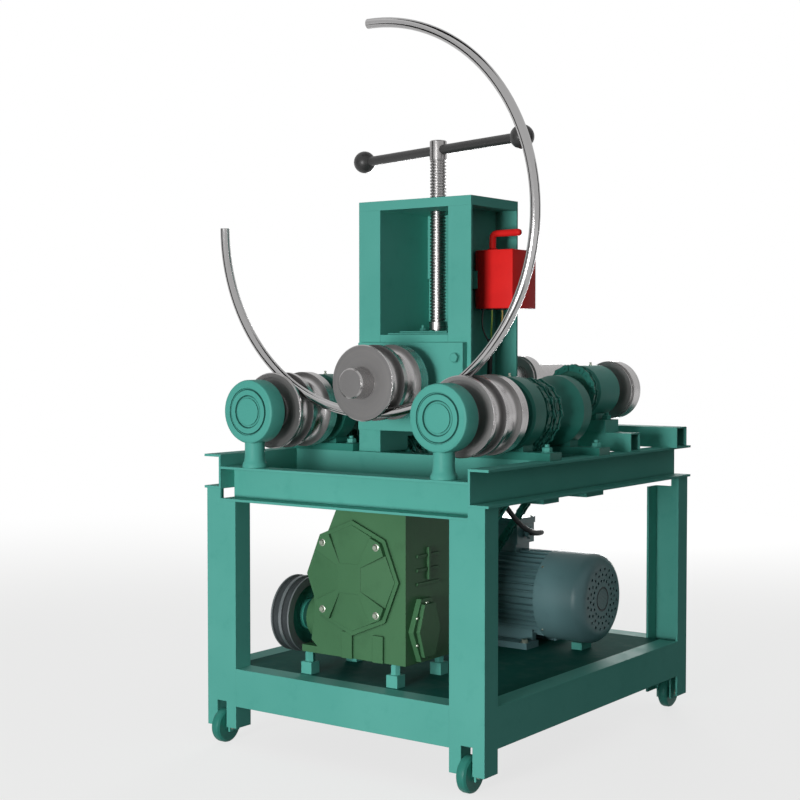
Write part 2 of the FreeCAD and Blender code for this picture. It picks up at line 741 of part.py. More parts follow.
def plain_roll(name, x, z, at, radius, width, bore):
    outline = [
        (0, radius - 3), (S.rearLip, radius - 3), (S.rearLip, radius),
        (width - 2, radius), (width, radius - 2),
    ]
    return turned(name, "Y", (x, depth(at), z), outline, bore + FIT)


def sprocket(name, x, z, at, teeth, pitch, roller, rows, tooth, half, hub, bore, turn=size(0)):
    # A toothed disc for each row of the chain, on one hub. The teeth are left between round seats,
    # the first of them at the given turn.
    pitch_radius = pitch_circle(teeth, pitch)
    outer = pitch_radius + roller * 0.75
    outline = [(-half, hub)]
    for row in rows:
        outline += [
            (row - tooth / 2, hub), (row - tooth / 2, outer - 1.5), (row - tooth / 4, outer),
            (row + tooth / 4, outer), (row + tooth / 2, outer - 1.5), (row + tooth / 2, hub),
        ]
    outline.append((half, hub))
    body = turned(name, "Y", (x, depth(at), z), outline, bore + FIT)
    sketch = new_sketch(body, "Seat", "XZ_Plane")
    draw_circle(sketch, pitch_radius * cosine(turn), pitch_radius * sine(turn), roller)
    seat = body.newObject("PartDesign::Pocket", body.Name + "Seat")
    seat.Profile = sketch
    seat.Type = 1
    seat.Midplane = True
    repeat_round(body, seat, teeth)
    return body


def loop_face(near, near_radius, far, far_radius):
    # The flat face inside a belt line around two wheels, drawn in XY.
    run = far - near
    lean = math.acos((near_radius - far_radius) / run.Length)
    along = run.normalize()
    across = Vector(-along.y, along.x, 0)

    def spot(middle, radius, angle):
        return middle + along * (radius * math.cos(angle)) + across * (radius * math.sin(angle))

    near_top, near_low = spot(near, near_radius, lean), spot(near, near_radius, -lean)
    far_top, far_low = spot(far, far_radius, lean), spot(far, far_radius, -lean)
    edges = [
        Part.LineSegment(near_top, far_top).toShape(),
        Part.Arc(far_top, spot(far, far_radius, 0), far_low).toShape(),
        Part.LineSegment(far_low, near_low).toShape(),
        Part.Arc(near_low, spot(near, near_radius, math.pi), near_top).toShape(),
    ]
    return Part.Face(Part.Wire(edges))


def loop_solid(near, near_radius, far, far_radius, half, start, width):
    # A band of the given half height around two wheels, padded along Z from start.
    outer = loop_face(near, near_radius + half, far, far_radius + half)
    inner = loop_face(near, near_radius - half, far, far_radius - half)
    band = outer.cut(inner)
    band.translate(Vector(0, 0, start))
    return band.extrude(Vector(0, 0, width))


def chain(label, far_x, far_z, far_teeth, teeth, pitch, at, rows, plate_half, pin):
    # Side plates as closed rails beside the teeth, with the pins of the two straight strands.
    near = Vector(0, S.outputHeight.value, 0)
    far = Vector(far_x.value, far_z.value, 0)
    near_radius = pitch_circle(teeth, pitch).value
    far_radius = pitch_circle(far_teeth, pitch).value
    rails = [
        loop_solid(near, near_radius, far, far_radius, plate_half.value, start.value, width.value)
        for start, width in rows
    ]
    run = far - near
    lean = math.acos((near_radius - far_radius) / run.Length)
    reach = run.Length * math.sin(lean)
    along = Vector(run).normalize()
    across = Vector(-along.y, along.x, 0)
    step = pitch.value
    count = int((reach - 2 * PIN_CLEAR * step) / step) + 1
    first = (reach - (count - 1) * step) / 2
    low = rows[0][0].value
    wide = (rows[-1][0] + rows[-1][1]).value - low
    for turn in (1, -1):
        edge = along * math.cos(lean) + across * (turn * math.sin(lean))
        start, end = near + edge * near_radius, far + edge * far_radius
        strand = (end - start).normalize()
        for n in range(count):
            spot = start + strand * (first + n * step) + Vector(0, 0, low)
            rails.append(Part.makeCylinder(pin.value, wide, spot, Vector(0, 0, 1)))
    return solid_feature(label, rails[0].fuse(rails[1:]), (0, depth(at), 0), PLANE_TURN["XZ"])


RIGHT_X = S.rollPitch / 2
BASE_INNER = COLUMN_HALF + S.baseRoom
BASE_OUTER = S.frameWidth / 2 - S.baseInset


def front_shaft(name, side, chain_at):
    # Stepped shaft: journal, clamp nut, roll seat, shoulder, long journal and tail journal.
    outline = [
        (S.pedestalAt + 7, S.journal), (S.pedestalAt + S.pedestalDepth + 4, S.journal),
        (S.pedestalAt + S.pedestalDepth + 4, S.rollShoulder), (S.lowerRollAt, S.rollShoulder),
        (S.lowerRollAt, S.rollSeat), (S.lowerRollAt + S.rollWidth, S.rollSeat),
        (S.lowerRollAt + S.rollWidth, S.rollShoulder), (S.midDrumAt - 3, S.rollShoulder),
        (S.midDrumAt - 3, S.rollSeat), (TAIL_AT, S.rollSeat),
        (TAIL_AT, S.journal), (S.domeEnd - 8, S.journal),
    ]
    shaft = turned(name + "_turning", "Y", (side * RIGHT_X, FRONT, S.lowerHeight), outline)
    wheel = sprocket(
        name + "_sprocket", side * RIGHT_X, S.lowerHeight, chain_at, S.frontTeeth, S.frontPitch,
        S.frontSeat, (-S.frontRow, S.frontRow), S.frontTooth, CHAIN_HALF, S.frontHub, S.rollSeat,
    )
    node(name, shaft, wheel)


TAIL_AT = S.domeEnd - 44
for side, side_name in MIRROR_NAMES:
    front_shaft(f"lower_shaft_{side_name}", side, S.rightChainAt if side > 0 else S.leftChainAt)
    node(f"lower_roll_{side_name}", grooved_roll(
        f"lower_roll_{side_name}", side * RIGHT_X, S.lowerHeight, S.lowerRollAt,
        S.lowerRollRadius, S.smallGrooveDepth, S.rollSeat, True,
    ))

collar_at = S.upperRollAt + S.rollWidth
node("upper_shaft", turned("upper_shaft", "Y", (0, FRONT, UPPER_Z), [
    (S.upperNoseAt, S.upperShaftRadius - 3), (S.upperNoseAt + 3, S.upperShaftRadius),
    (S.upperRollAt, S.upperShaftRadius), (S.upperRollAt, S.upperSeat),
    (collar_at, S.upperSeat), (collar_at, S.upperShaftRadius + 9),
    (collar_at + 14, S.upperShaftRadius + 9), (collar_at + 14, S.upperShaftRadius),
    (S.upperTailAt - 5, S.upperShaftRadius), (S.upperTailAt, S.upperShaftRadius - 5),
]))
node("upper_roll_front", grooved_roll(
    "upper_roll_front", size(0), UPPER_Z, S.upperRollAt,
    S.upperRollRadius, S.upperGrooveDepth, S.upperSeat, False,
))
node("upper_roll_rear", plain_roll(
    "upper_roll_rear", size(0), UPPER_Z, S.rearRollAt, S.rearUpperRoll, S.rearRollWidth, S.upperShaftRadius,
))

for side, side_name in MIRROR_NAMES:
    chain_at = S.rightRearChainAt if side > 0 else S.leftRearChainAt
    x = side * RIGHT_X
    tail = S.rearRollAt + S.rearRollWidth
    shaft = turned(f"rear_shaft_{side_name}_turning", "Y", (x, FRONT, S.rearHeight), [
        (S.leftRearChainAt - REAR_CHAIN_HALF - 6, S.rearShaftRadius), (tail, S.rearShaftRadius),
        (tail, S.rearShaftRadius + 8), (tail + 10, S.rearShaftRadius + 8),
        (tail + 10, S.rearShaftRadius - 6), (tail + 16, S.rearShaftRadius - 6),
    ])
    wheel = sprocket(
        f"rear_sprocket_{side_name}", x, S.rearHeight, chain_at, S.rearTeeth, S.rearPitch,
        S.rearSeat, (size(0),), S.rearTooth, REAR_CHAIN_HALF, S.rearHub, S.rearShaftRadius,
    )
    node(f"rear_shaft_{side_name}", shaft, wheel)
    node(f"rear_roll_{side_name}", plain_roll(
        f"rear_roll_{side_name}", x, S.rearHeight, S.rearRollAt, S.rearRollRadius,
        S.rearRollWidth, S.rearShaftRadius,
    ))

# ---- bearings of the rolls ----
pedestals, mid_bearings, dome_bearings, rear_bearings = [], [], [], []
for side, side_name in MIRROR_NAMES:
    x = side * RIGHT_X
    name = f"pedestal_{side_name}"
    radius, drum = S.pedestalRadius, S.pedestalDepth
    disc = turned(name + "_drum", "Y", (x, depth(S.pedestalAt), S.lowerHeight), [
        (0, S.ringInner), (S.ringCut, S.ringInner), (S.ringCut, S.ringInner + 6), (0, S.ringInner + 6),
        (0, S.ringOuter), (S.ringCut, S.ringOuter), (S.ringCut, S.ringOuter + 4), (0, S.ringOuter + 4),
        (0, radius - 5), (1.5, radius - 1.5), (5, radius), (drum - 4, radius), (drum, radius - 4),
    ])
    low = S.frontBeamTop
    neck = turned(name + "_neck", "Z", (x, depth(S.pedestalAt + drum / 2), 0), [
        (low, S.pedestalFoot), (low + 7, S.pedestalFoot), (low + 14, S.pedestalNeck + 1.5),
        (low + 26, S.pedestalNeck), (S.lowerHeight - radius, S.pedestalNeck), (S.lowerHeight, S.pedestalNeck),
    ])
    bore = cylinder(
        name + "_bore", S.journal + FIT, drum,
        (x, depth(S.pedestalAt + 7 - GAP), S.lowerHeight), "Y",
    )
    pedestals.append(cut(name, fuse(name + "_casting", disc, neck), bore))
node("pedestals", *pedestals)


def base_bar(name, side, at, extra):
    inner, outer = side * BASE_INNER, side * (BASE_OUTER + extra)
    return box(name, (inner, depth(at), TOP), (outer, depth(at + S.baseDepth), TOP + S.baseWall))


def bearing_web(name, x, at, reach, half, low, high):
    return box(name, (x - half, depth(at), low), (x + half, depth(at + reach), high))


for side, side_name in MIRROR_NAMES:
    x = side * RIGHT_X
    name = f"mid_bearing_{side_name}"
    radius = S.midDrumRadius
    drum = turned(name + "_drum", "Y", (x, depth(S.midDrumAt), S.lowerHeight), [
        (0, radius - 5), (5, radius), (S.midDrumDepth - 5, radius), (S.midDrumDepth, radius - 5),
    ])
    web = bearing_web(
        name + "_web", x, S.midBaseAt + 4, S.baseDepth - 8, S.webHalf, TOP + S.baseWall, S.lowerHeight,
    )
    casting = fuse(name + "_casting", drum, web, base_bar(name + "_base", side, S.midBaseAt, 0))
    bore = cylinder(
        name + "_bore", S.rollSeat + FIT, S.midDrumDepth + 2,
        (x, depth(S.midDrumAt) - 1, S.lowerHeight), "Y",
    )
    mid_bearings.append(cut(name, casting, bore))

    name = f"dome_bearing_{side_name}"
    radius = S.domeRadius
    start = S.domeStart if side > 0 else TAIL_AT + 2
    rim = S.domeEnd - start
    front_hub = S.domeHub if side > 0 else radius - 5
    dome = turned(name + "_dome", "Y", (x, depth(start), S.lowerHeight), [
        (0, front_hub), (rim - 42, radius - 2) if side > 0 else (3, radius - 2), (rim - 38, radius),
        (rim - 5, radius), (rim, radius - 5),
    ])
    web = bearing_web(
        name + "_web", x, S.domeBaseAt + 2, S.baseDepth - 12, S.webHalf, TOP + S.baseWall, S.lowerHeight,
    )
    casting = fuse(name + "_casting", dome, web, base_bar(name + "_base", side, S.domeBaseAt, 6))
    wide = cylinder(
        name + "_wide_bore", S.rollSeat + S.clearance, TAIL_AT + S.clearance - start + 1,
        (x, depth(start) - 1, S.lowerHeight), "Y",
    )
    bore = cylinder(
        name + "_bore", S.journal + FIT, S.domeEnd - 8 + GAP - start,
        (x, depth(start), S.lowerHeight), "Y",
    )
    dome_bearings.append(cut(name, casting, wide, bore))
node("mid_bearings", *mid_bearings)
node("dome_bearings", *dome_bearings)

for side, side_name in MIRROR_NAMES:
    x = side * RIGHT_X
    name = f"rear_bearing_{side_name}"
    radius, drum = S.rearDrumRadius, S.rearDrumDepth
    case = turned(name + "_drum", "Y", (x, depth(S.rearDrumAt), S.rearHeight), [
        (0, radius - 12), (8, radius - 10), (14, radius), (drum - 6, radius), (drum, radius - 6),
    ])
    low = TOP + S.midTubeHeight
    foot = box(
        name + "_foot",
        (x - S.rearBaseHalf, depth(S.midTubeAt) - 4, low),
        (x + S.rearBaseHalf, depth(S.midTubeAt + S.midTubeDepth) + 12, low + S.rearBaseHeight),
    )
    web = bearing_web(
        name + "_web", x, S.midTubeAt, S.midTubeDepth, S.rearWebHalf, low + S.rearBaseHeight, S.rearHeight,
    )
    bore = cylinder(
        name + "_bore", S.rearShaftRadius + FIT, drum + 2,
        (x, depth(S.rearDrumAt) - 1, S.rearHeight), "Y",
    )
    rear_bearings.append(cut(name, fuse(name + "_casting", case, web, foot), bore))
node("rear_bearings", *rear_bearings)

# ---- drive under the table: chains, output shaft, hanger bearing ----
MIDDLE_RAIL = S.frontRow - S.frontTooth / 2 - S.chainGap
FRONT_ROWS = (
    (-CHAIN_HALF, S.frontRail),
    (-MIDDLE_RAIL, 2 * MIDDLE_RAIL),
    (CHAIN_HALF - S.frontRail, S.frontRail),
)
REAR_ROWS = ((-REAR_CHAIN_HALF, S.chainSide), (REAR_CHAIN_HALF - S.chainSide, S.chainSide))
front_chains, rear_chains, drive_wheels = [], [], []
for side, side_name in MIRROR_NAMES:
    at = S.rightChainAt if side > 0 else S.leftChainAt
    front_chains.append(chain(
        f"front_chain_{side_name}", side * RIGHT_X, S.lowerHeight, S.frontTeeth, S.frontTeeth,
        S.frontPitch, at, FRONT_ROWS, S.frontPlate, S.frontPin,
    ))
    drive_wheels.append(sprocket(
        f"front_drive_sprocket_{side_name}", size(0), S.outputHeight, at, S.frontTeeth, S.frontPitch,
        S.frontSeat, (-S.frontRow, S.frontRow), S.frontTooth, CHAIN_HALF, S.frontHub, S.outputRadius,
        S.frontDriveTurn,
    ))
    at = S.rightRearChainAt if side > 0 else S.leftRearChainAt
    rear_chains.append(chain(
        f"rear_chain_{side_name}", side * RIGHT_X, S.rearHeight, S.rearTeeth, S.rearDriveTeeth,
        S.rearPitch, at, REAR_ROWS, S.rearPlate, S.rearPin,
    ))
    drive_wheels.append(sprocket(
        f"rear_drive_sprocket_{side_name}", size(0), S.outputHeight, at, S.rearDriveTeeth, S.rearPitch,
        S.rearSeat, (size(0),), S.rearTooth, REAR_CHAIN_HALF, S.driveHub, S.outputTail,
        S.rightRearDriveTurn if side > 0 else S.leftRearDriveTurn,
    ))
node("front_chains", *front_chains)
node("rear_chains", *rear_chains)

step_at = S.hangerAt + S.hangerDepth + 10
output = turned("output_turning", "Y", (0, FRONT, S.outputHeight), [
    (S.casingFront + 30, S.outputRadius), (step_at, S.outputRadius),
    (step_at, S.outputTail), (S.outputEnd, S.outputTail),
])
node("output_shaft", output, *drive_wheels)

plate = box(
    "hanger_plate",
    (-S.hangerHalf, depth(S.hangerAt), S.outputHeight),
    (S.hangerHalf, depth(S.hangerAt + S.hangerDepth), SIDE_BOTTOM),
)
boss = cylinder(
    "hanger_boss", S.hangerHalf, S.hangerDepth, (0, depth(S.hangerAt), S.outputHeight), "Y",
)
bore = cylinder(
    "hanger_bore", S.outputRadius + FIT, S.hangerDepth + 2,
    (0, depth(S.hangerAt) - 1, S.outputHeight), "Y",
)
node("hanger_bearing", cut("hanger_bearing", fuse("hanger_casting", plate, boss), bore))

# ---- worm gearbox ----
FEET_TOP = S.floorTop + S.blockHeight
blocks, gearbox_bolts = [], []
for x, x_name in ((S.blockLeftX, "left"), (S.blockRightX, "right")):
    for at, at_name in ((S.casingFront - 3, "front"), (S.casingBack - S.blockWidth + 3, "back")):
        tag = f"{at_name}_{x_name}"
        half = S.blockWidth / 2
        blocks.append(box(
            f"block_{tag}",
            (x - half, depth(at), S.floorTop),
            (x + half, depth(at + S.blockWidth), FEET_TOP),
        ))
blocks.append(box(
    "cowl_rest",
    (S.restLeft, depth(MOTOR_AT) - S.restHalf, S.floorTop),
    (S.restLeft + S.restWidth, depth(MOTOR_AT) + S.restHalf, S.motorHeight - S.cowlRadius - GAP),
))
node("gearbox_blocks", *blocks)

feet = [
    box(
        "casing_foot",
        (S.blockLeftX - S.blockWidth / 2, depth(at), S.casingBottom),
        (-S.coverHalf + 40, depth(at + S.blockWidth), S.casingBottom + 14),
    )
    for at in (S.casingFront, S.casingBack - S.blockWidth)
]


def octagon(radius):
    angles = [size(45 * n) for n in range(8)]
    return [(radius * cosine(angle), S.outputHeight + radius * sine(angle)) for angle in angles]


flange = padded(
    "cover_flange", "XZ", (0, depth(S.coverBack), 0), octagon(S.coverHalf + S.flangeLip),
    S.casingFront + 1 - S.coverBack,
)
casing_outline = [
    (-S.coverHalf + 30, S.casingBottom), (S.casingRight, S.casingBottom), (S.casingRight, S.casingTop),
    (S.casingShoulder, S.casingTop), (-S.coverHalf, S.outputHeight), (-S.coverHalf + 6, S.wormHeight + 30),
    (-S.coverHalf - 2, S.wormHeight - 40),
]
case = padded(
    "casing_box", "XZ", (0, depth(S.casingFront), 0), casing_outline,
    S.casingBack - S.casingFront,
)
ribs = [
    box(
        f"casing_rib_{n}",
        (x, depth(S.casingFront) - 5, S.casingBottom),
        (x + 26, depth(S.casingFront) + 1, S.outputHeight - S.coverHalf - 3),
    )
    for n, x in enumerate((-27, 51))
]
side_face = S.casingRight - 1
for n in range(3):
    low = S.sideRibLow + n * (S.sideRibHigh - S.sideRibLow) / 2
    ribs.append(box(
        f"side_rib_{n}",
        (side_face, depth(S.sideRibFrom), low - S.sideRibWall),
        (S.casingRight + S.sideRibWall, depth(S.sideRibTo), low + S.sideRibWall),
    ))
bar_at = (S.sideRibFrom + S.sideRibTo) / 2
ribs.append(box(
    "side_rib_bar",
    (side_face, depth(bar_at - S.sideRibWall), S.sideRibLow + S.sideRibWall + 4),
    (S.casingRight + 2 * S.sideRibWall, depth(bar_at + S.sideRibWall), S.sideRibBarTop),
))
worm_boss = cylinder(
    "worm_boss", S.wormHousing, S.casingRight - S.wormBossLeft,
    (S.wormBossLeft, depth(S.wormAt), S.wormHeight), "X",
)
worm_bore = cylinder(
    "worm_bore", S.wormRadius + FIT, 120, (S.wormBossLeft - 1, depth(S.wormAt), S.wormHeight), "X",
)
output_bore = cylinder(
    "output_bore", S.outputRadius + FIT, S.casingBack - S.casingFront - 30 + GAP + 1,
    (0, depth(S.casingFront + 30) - GAP, S.outputHeight), "Y",
)
node("gearbox_casing", cut(
    "gearbox_casing", fuse("casing_casting", case, flange, worm_boss, *feet, *ribs), worm_bore, output_bore,
))

cover = padded(
    "cover_plate", "XZ", (0, depth(S.coverFront), 0), octagon(S.coverHalf), S.coverBack - S.coverFront,
)
facets = []
for n in range(4):
    # Falls from the raised cross to the rim, between two arms.
    wedge = doc.addObject("Part::Wedge", f"CoverFacet{n}")
    for prop, value in (
        ("Xmin", -S.facetRoot), ("Xmax", S.facetRoot), ("X2min", -S.facetTip), ("X2max", S.facetTip),
        ("Ymin", S.facetRoot + 6), ("Ymax", S.coverHalf + 2), ("Zmin", size(-0.5)), ("Zmax", size(4)),
        ("Z2min", -S.facetFall), ("Z2max", size(4)),
    ):
        bind(wedge, prop, value)
    upright = Rotation(Vector(0, -1, 0), 90 * n).multiply(Rotation(Vector(1, 0, 0), 90))
    place(wedge, (0, depth(S.coverFront), S.outputHeight), upright)
    facets.append(wedge)
node("gearbox_cover", cut("gearbox_cover", cover, *facets))
cover_bolts = [
    hexagon(
        f"cover_bolt_{x_name}_{level}", S.studAcross, 6,
        (x * S.coverBoltAway, depth(S.coverFront) - 6, S.outputHeight + up * S.coverBoltAway), "Y",
    )
    for x, x_name in MIRROR_NAMES
    for up, level in ((1, "top"), (-1, "low"))
]
for x, x_name in ((S.blockLeftX, "left"), (S.blockRightX, "right")):
    for at, at_name in (
        (S.casingFront - 3 + S.blockWidth / 2, "front"), (S.casingBack + 3 - S.blockWidth / 2, "back"),
    ):
        cover_bolts.append(hexagon(
            f"foot_nut_{at_name}_{x_name}", S.boltAcross, S.casingBottom - FEET_TOP, (x, depth(at), FEET_TOP),
        ))
cap = (S.casingRight, depth(S.wormAt), S.wormHeight)


def cap_plate(label, at, grow, wall):
    high, wide, flat = S.capHigh + grow, S.capWide + grow, S.capWide / 2
    outline = [(-flat, high), (flat, high), (wide, 0), (flat, -high), (-flat, -high), (-wide, 0)]
    return padded(label, "YZ", at, outline, wall)


node(
    "worm_end_cap",
    cap_plate("end_cap_flange", cap, 10, 12),
    cap_plate("end_cap", (cap[0] + 12, cap[1], cap[2]), 0, 9),
)

# ---- belt drive ----


def vee_pulley(name, at, radius, bore, hub, recess, rim):
    # Two V grooves around a rim, with a recessed web and a hub. Drawn from its left face.
    wide, bottom = S.pulleyWidth, radius - GROOVE_DEEP
    outline = [(0, hub), (recess, hub), (recess, radius - rim), (0, radius - rim), (0, radius)]
    for away in (-S.beltPitch / 2, S.beltPitch / 2):
        middle = wide / 2 + away
        top, low = S.beltWidth / 2 + 2.5, S.beltWidth / 2 + 0.5
        outline += [
            (middle - top, radius), (middle - low, bottom),
            (middle + low, bottom), (middle + top, radius),
        ]
    floor = wide - recess
    outline += [(wide, radius), (wide, radius - rim), (floor, radius - rim), (floor, hub), (wide, hub)]
    return turned(name, "X", at, outline, bore + FIT)


GROOVE_DEEP = S.beltDepth + 3
PULLEY_LEFT = S.pulleyRight - S.pulleyWidth
worm = turned("worm_turning", "X", (0, depth(S.wormAt), S.wormHeight), [
    (PULLEY_LEFT - 4, S.wormRadius - 2), (PULLEY_LEFT - 2, S.wormRadius),
    (S.wormBossLeft + 110, S.wormRadius),
])
node("worm_shaft", worm, vee_pulley(
    "worm_pulley", (PULLEY_LEFT, depth(S.wormAt), S.wormHeight), S.pulleyRadius, S.wormRadius,
    S.wormRadius + 14, 14, 17,
))

belt_half = S.beltDepth / 2
near_radius = S.pulleyRadius - GROOVE_DEEP + GAP + belt_half
far_radius = S.motorPulley - GROOVE_DEEP + GAP + belt_half
belts = []
for n, away in enumerate((-S.beltPitch / 2, S.beltPitch / 2)):
    # Drawn with X as the model's Y and Y as its Z.
    band = loop_solid(
        Vector(depth(S.wormAt).value, S.wormHeight.value, 0), near_radius.value,
        Vector(depth(MOTOR_AT).value, S.motorHeight.value, 0), far_radius.value,
        belt_half.value, -S.beltWidth.value / 2, S.beltWidth.value,
    )
    middle = PULLEY_LEFT + S.pulleyWidth / 2 + away
    belts.append(solid_feature(f"belt_{n}", band, (middle, 0, 0), PLANE_TURN["YZ"]))
node("drive_belts", *belts)

# ---- motor ----
motor_y = depth(MOTOR_AT)
body = new_body("motor_finned", (S.motorLeft, motor_y, S.motorHeight), PLANE_TURN["YZ"])
sketch = new_sketch(body, "Barrel")
draw_circle(sketch, 0, 0, S.motorBody)
add_pad(body, sketch, "Barrel", S.motorRight - S.motorLeft, False)
sketch = new_sketch(body, "Fin")
draw_polygon(sketch, [
    (-S.finWall, S.motorBody - 2), (S.finWall, S.motorBody - 2),
    (S.finWall / 2, S.motorFin), (-S.finWall / 2, S.motorFin),
])
fin = add_pad(body, sketch, "Fin", S.motorRight - S.motorLeft, False)
repeat_round(body, fin, S.finCount)
shield = turned("motor_shield", "X", (S.motorLeft, motor_y, S.motorHeight), [
    (-38, 30), (-20, 34), (-16, S.motorBody - 12), (-10, S.motorBody), (0, S.motorBody),
])
foot_left, foot_right = S.motorLeft + 20, S.motorRight - 20
feet = [
    box(
        f"motor_foot_{n}",
        (foot_left, motor_y + away * S.motorFootOut, S.floorTop),
        (foot_right, motor_y + away * S.motorFootIn, S.floorTop + S.motorFootHeight),
    )
    for n, away in enumerate((-1, 1))
]
pillars = [
    box(
        f"motor_pillar_{n}",
        (foot_left + 8, motor_y + away * (S.motorFootIn - 2), S.floorTop),
        (foot_right - 8, motor_y + away * (S.motorFootIn + 14), S.motorHeight - 30),
    )
    for n, away in enumerate((-1, 1))
]
seat = box(
    "terminal_seat",
    (S.terminalLeft + 8, depth(S.terminalFront) + 8, S.motorHeight),
    (S.terminalRight - 8, depth(S.terminalBack) - 8, S.terminalBottom),
)
shaft_bore = cylinder(
    "motor_bore", S.motorShaft + FIT, S.motorRight - S.motorLeft + 60,
    (S.motorLeft - 45, motor_y, S.motorHeight), "X",
)
casting = fuse("motor_casting", body, shield, *feet, *pillars, seat)
node("motor_frame", cut("motor_frame", casting, shaft_bore))

cup = turned("cowl_cup", "X", (S.motorRight, motor_y, S.motorHeight), [
    (0, S.cowlRadius - 1), (S.cowlEnd - S.motorRight - 14, S.cowlRadius),
    (S.cowlEnd - S.motorRight - 5, S.cowlRadius - 4), (S.cowlEnd - S.motorRight, S.cowlRadius - 14),
])
for ring in range(5):
    sketch = new_sketch(cup, f"Vent{ring}", "XZ_Plane")
    draw_circle(sketch, S.ventFirst + ring * S.ventStep, 0, S.ventRadius)
    vent = cup.newObject("PartDesign::Pocket", f"CowlVent{ring}")
    vent.Profile = sketch
    vent.Type = 1
    vent.Midplane = True
    repeat_round(cup, vent, size(12 + 4 * ring))
hollow = cylinder(
    "cowl_hollow", S.cowlRadius - S.cowlWall, S.cowlEnd - S.motorRight - 14,
    (S.motorRight - 1, motor_y, S.motorHeight), "X",
)
hollow_end = cylinder(
    "cowl_hollow_end", S.cowlRadius - 16, S.cowlEnd - S.motorRight - S.cowlWall,
    (S.motorRight, motor_y, S.motorHeight), "X",
)
node("motor_cowl", cut("motor_cowl", cup, hollow, hollow_end))

rotor = turned("rotor_turning", "X", (0, motor_y, S.motorHeight), [
    (PULLEY_LEFT - 3, S.motorShaft), (S.motorRight + 50, S.motorShaft),
])
fan = new_body("fan", (S.motorRight + 12, motor_y, S.motorHeight), PLANE_TURN["YZ"])
sketch = new_sketch(fan, "Hub")
draw_circle(sketch, 0, 0, S.motorShaft + 14)
draw_circle(sketch, 0, 0, S.motorShaft + FIT)
add_pad(fan, sketch, "Hub", S.fanDepth, False)
sketch = new_sketch(fan, "Blade")
draw_polygon(sketch, [
    (-1.5, S.motorShaft + 12), (1.5, S.motorShaft + 12), (1.5, S.cowlRadius - 14), (-1.5, S.cowlRadius - 14),
])
blade = add_pad(fan, sketch, "Blade", S.fanDepth, False)
repeat_round(fan, blade, 7)
node("motor_shaft", rotor, fan, vee_pulley(
    "motor_pulley", (PULLEY_LEFT, motor_y, S.motorHeight), S.motorPulley, S.motorShaft,
    S.motorShaft + 8, 6, 18,
))

terminal = [
    box(
        "terminal_body",
        (S.terminalLeft, depth(S.terminalFront), S.terminalBottom),
        (S.terminalRight, depth(S.terminalBack), S.terminalTop - 14),
    ),
    box(
        "terminal_lid",
        (S.terminalLeft - 2, depth(S.terminalFront) - 2, S.terminalTop - 14),
        (S.terminalRight + 2, depth(S.terminalBack) + 2, S.terminalTop),
    ),
]
gland_at = (S.terminalRight, depth((S.terminalFront + S.terminalBack) / 2), S.glandHeight)
gland = fuse(
    "terminal_gland",
    cylinder("gland_thread", S.leadRadius + 4, 8, gland_at, "X"),
    hexagon("gland_nut", 24, 8, (gland_at[0] + 6, gland_at[1], gland_at[2]), "X"),
)
node("terminal_box", *terminal, gland)

# ---- switch on the right post ----
LEVER_X = SWITCH_LEFT + S.leverFrom
corner = S.switchCorner
switch_outline = [(SWITCH_LEFT, depth(S.switchBack)), (SWITCH_LEFT, depth(S.switchFront) + corner)]
for n in range(1, 6):
    angle = size(15 * n)
    switch_outline.append((
        SWITCH_LEFT + corner * (1 - cosine(angle)), depth(S.switchFront) + corner * (1 - sine(angle)),
    ))
switch_outline += [
    (SWITCH_LEFT + corner, depth(S.switchFront)),
    (SWITCH_LEFT + S.switchWidth, depth(S.switchFront)), (SWITCH_LEFT + S.switchWidth, depth(S.switchBack)),
]
switch = cut(
    "switch_body",
    padded("switch_case", "XY", (0, 0, S.switchBottom), switch_outline, S.switchTop - S.switchBottom),
    box(
        "bracket_seat",
        (SWITCH_LEFT - 1, depth(S.switchFront) - 1, S.bracketLow),
        (SWITCH_LEFT + S.bracketReach, depth(S.switchFront) + S.bracketDepth, S.bracketHigh),
    ),
)
pivot_boss = cylinder("pivot_boss", 13, 4, (LEVER_X, depth(S.leverAt), S.switchTop))
node("switch_box", switch, pivot_boss)
spindle = cylinder("lever_spindle", S.leverRadius, S.leverTop - S.switchTop - 4 - GAP, (
    LEVER_X, depth(S.leverAt), S.switchTop + 4 + GAP,
))
arm = padded("lever_arm", "XZ", (0, depth(S.leverAt) - 8, 0), [
    (LEVER_X - 9, S.leverTop - 16), (LEVER_X + S.leverReach, S.leverTop - 12),
    (LEVER_X + S.leverReach, S.leverTop),
    (LEVER_X - 9, S.leverTop),
], 16)
node("switch_lever", fuse("switch_lever", spindle, arm))

# ---- cable from the switch to the motor, clipped in the right post ----


def tube_path(points):
    # Straight runs joined by tangent arcs, each as large as its two runs allow.
    points = [Vector(*p) for p in points]
    edges, radii, start = [], [], points[0]
    for before, here, after in zip(points, points[1:], points[2:]):
        arriving, leaving = here - before, after - here
        turn = arriving.getAngle(leaving)
        shorter = min(arriving.Length, leaving.Length)
        cut_back = 0.45 * shorter
        radii.append(cut_back / math.tan(turn / 2))
        into = here - arriving.normalize() * cut_back
        out = here + leaving.normalize() * cut_back
        # The arc's middle lies on the way from the corner to the bend's centre.
        inward = (into + out) * 0.5 - here
        to_centre = radii[-1] / math.cos(turn / 2)
        middle = here + Vector(inward).normalize() * (to_centre - radii[-1])
        edges.append(Part.LineSegment(start, into).toShape())
        edges.append(Part.Arc(into, middle, out).toShape())
        start = out
    edges.append(Part.LineSegment(start, points[-1]).toShape())
    return Part.Wire(edges), radii


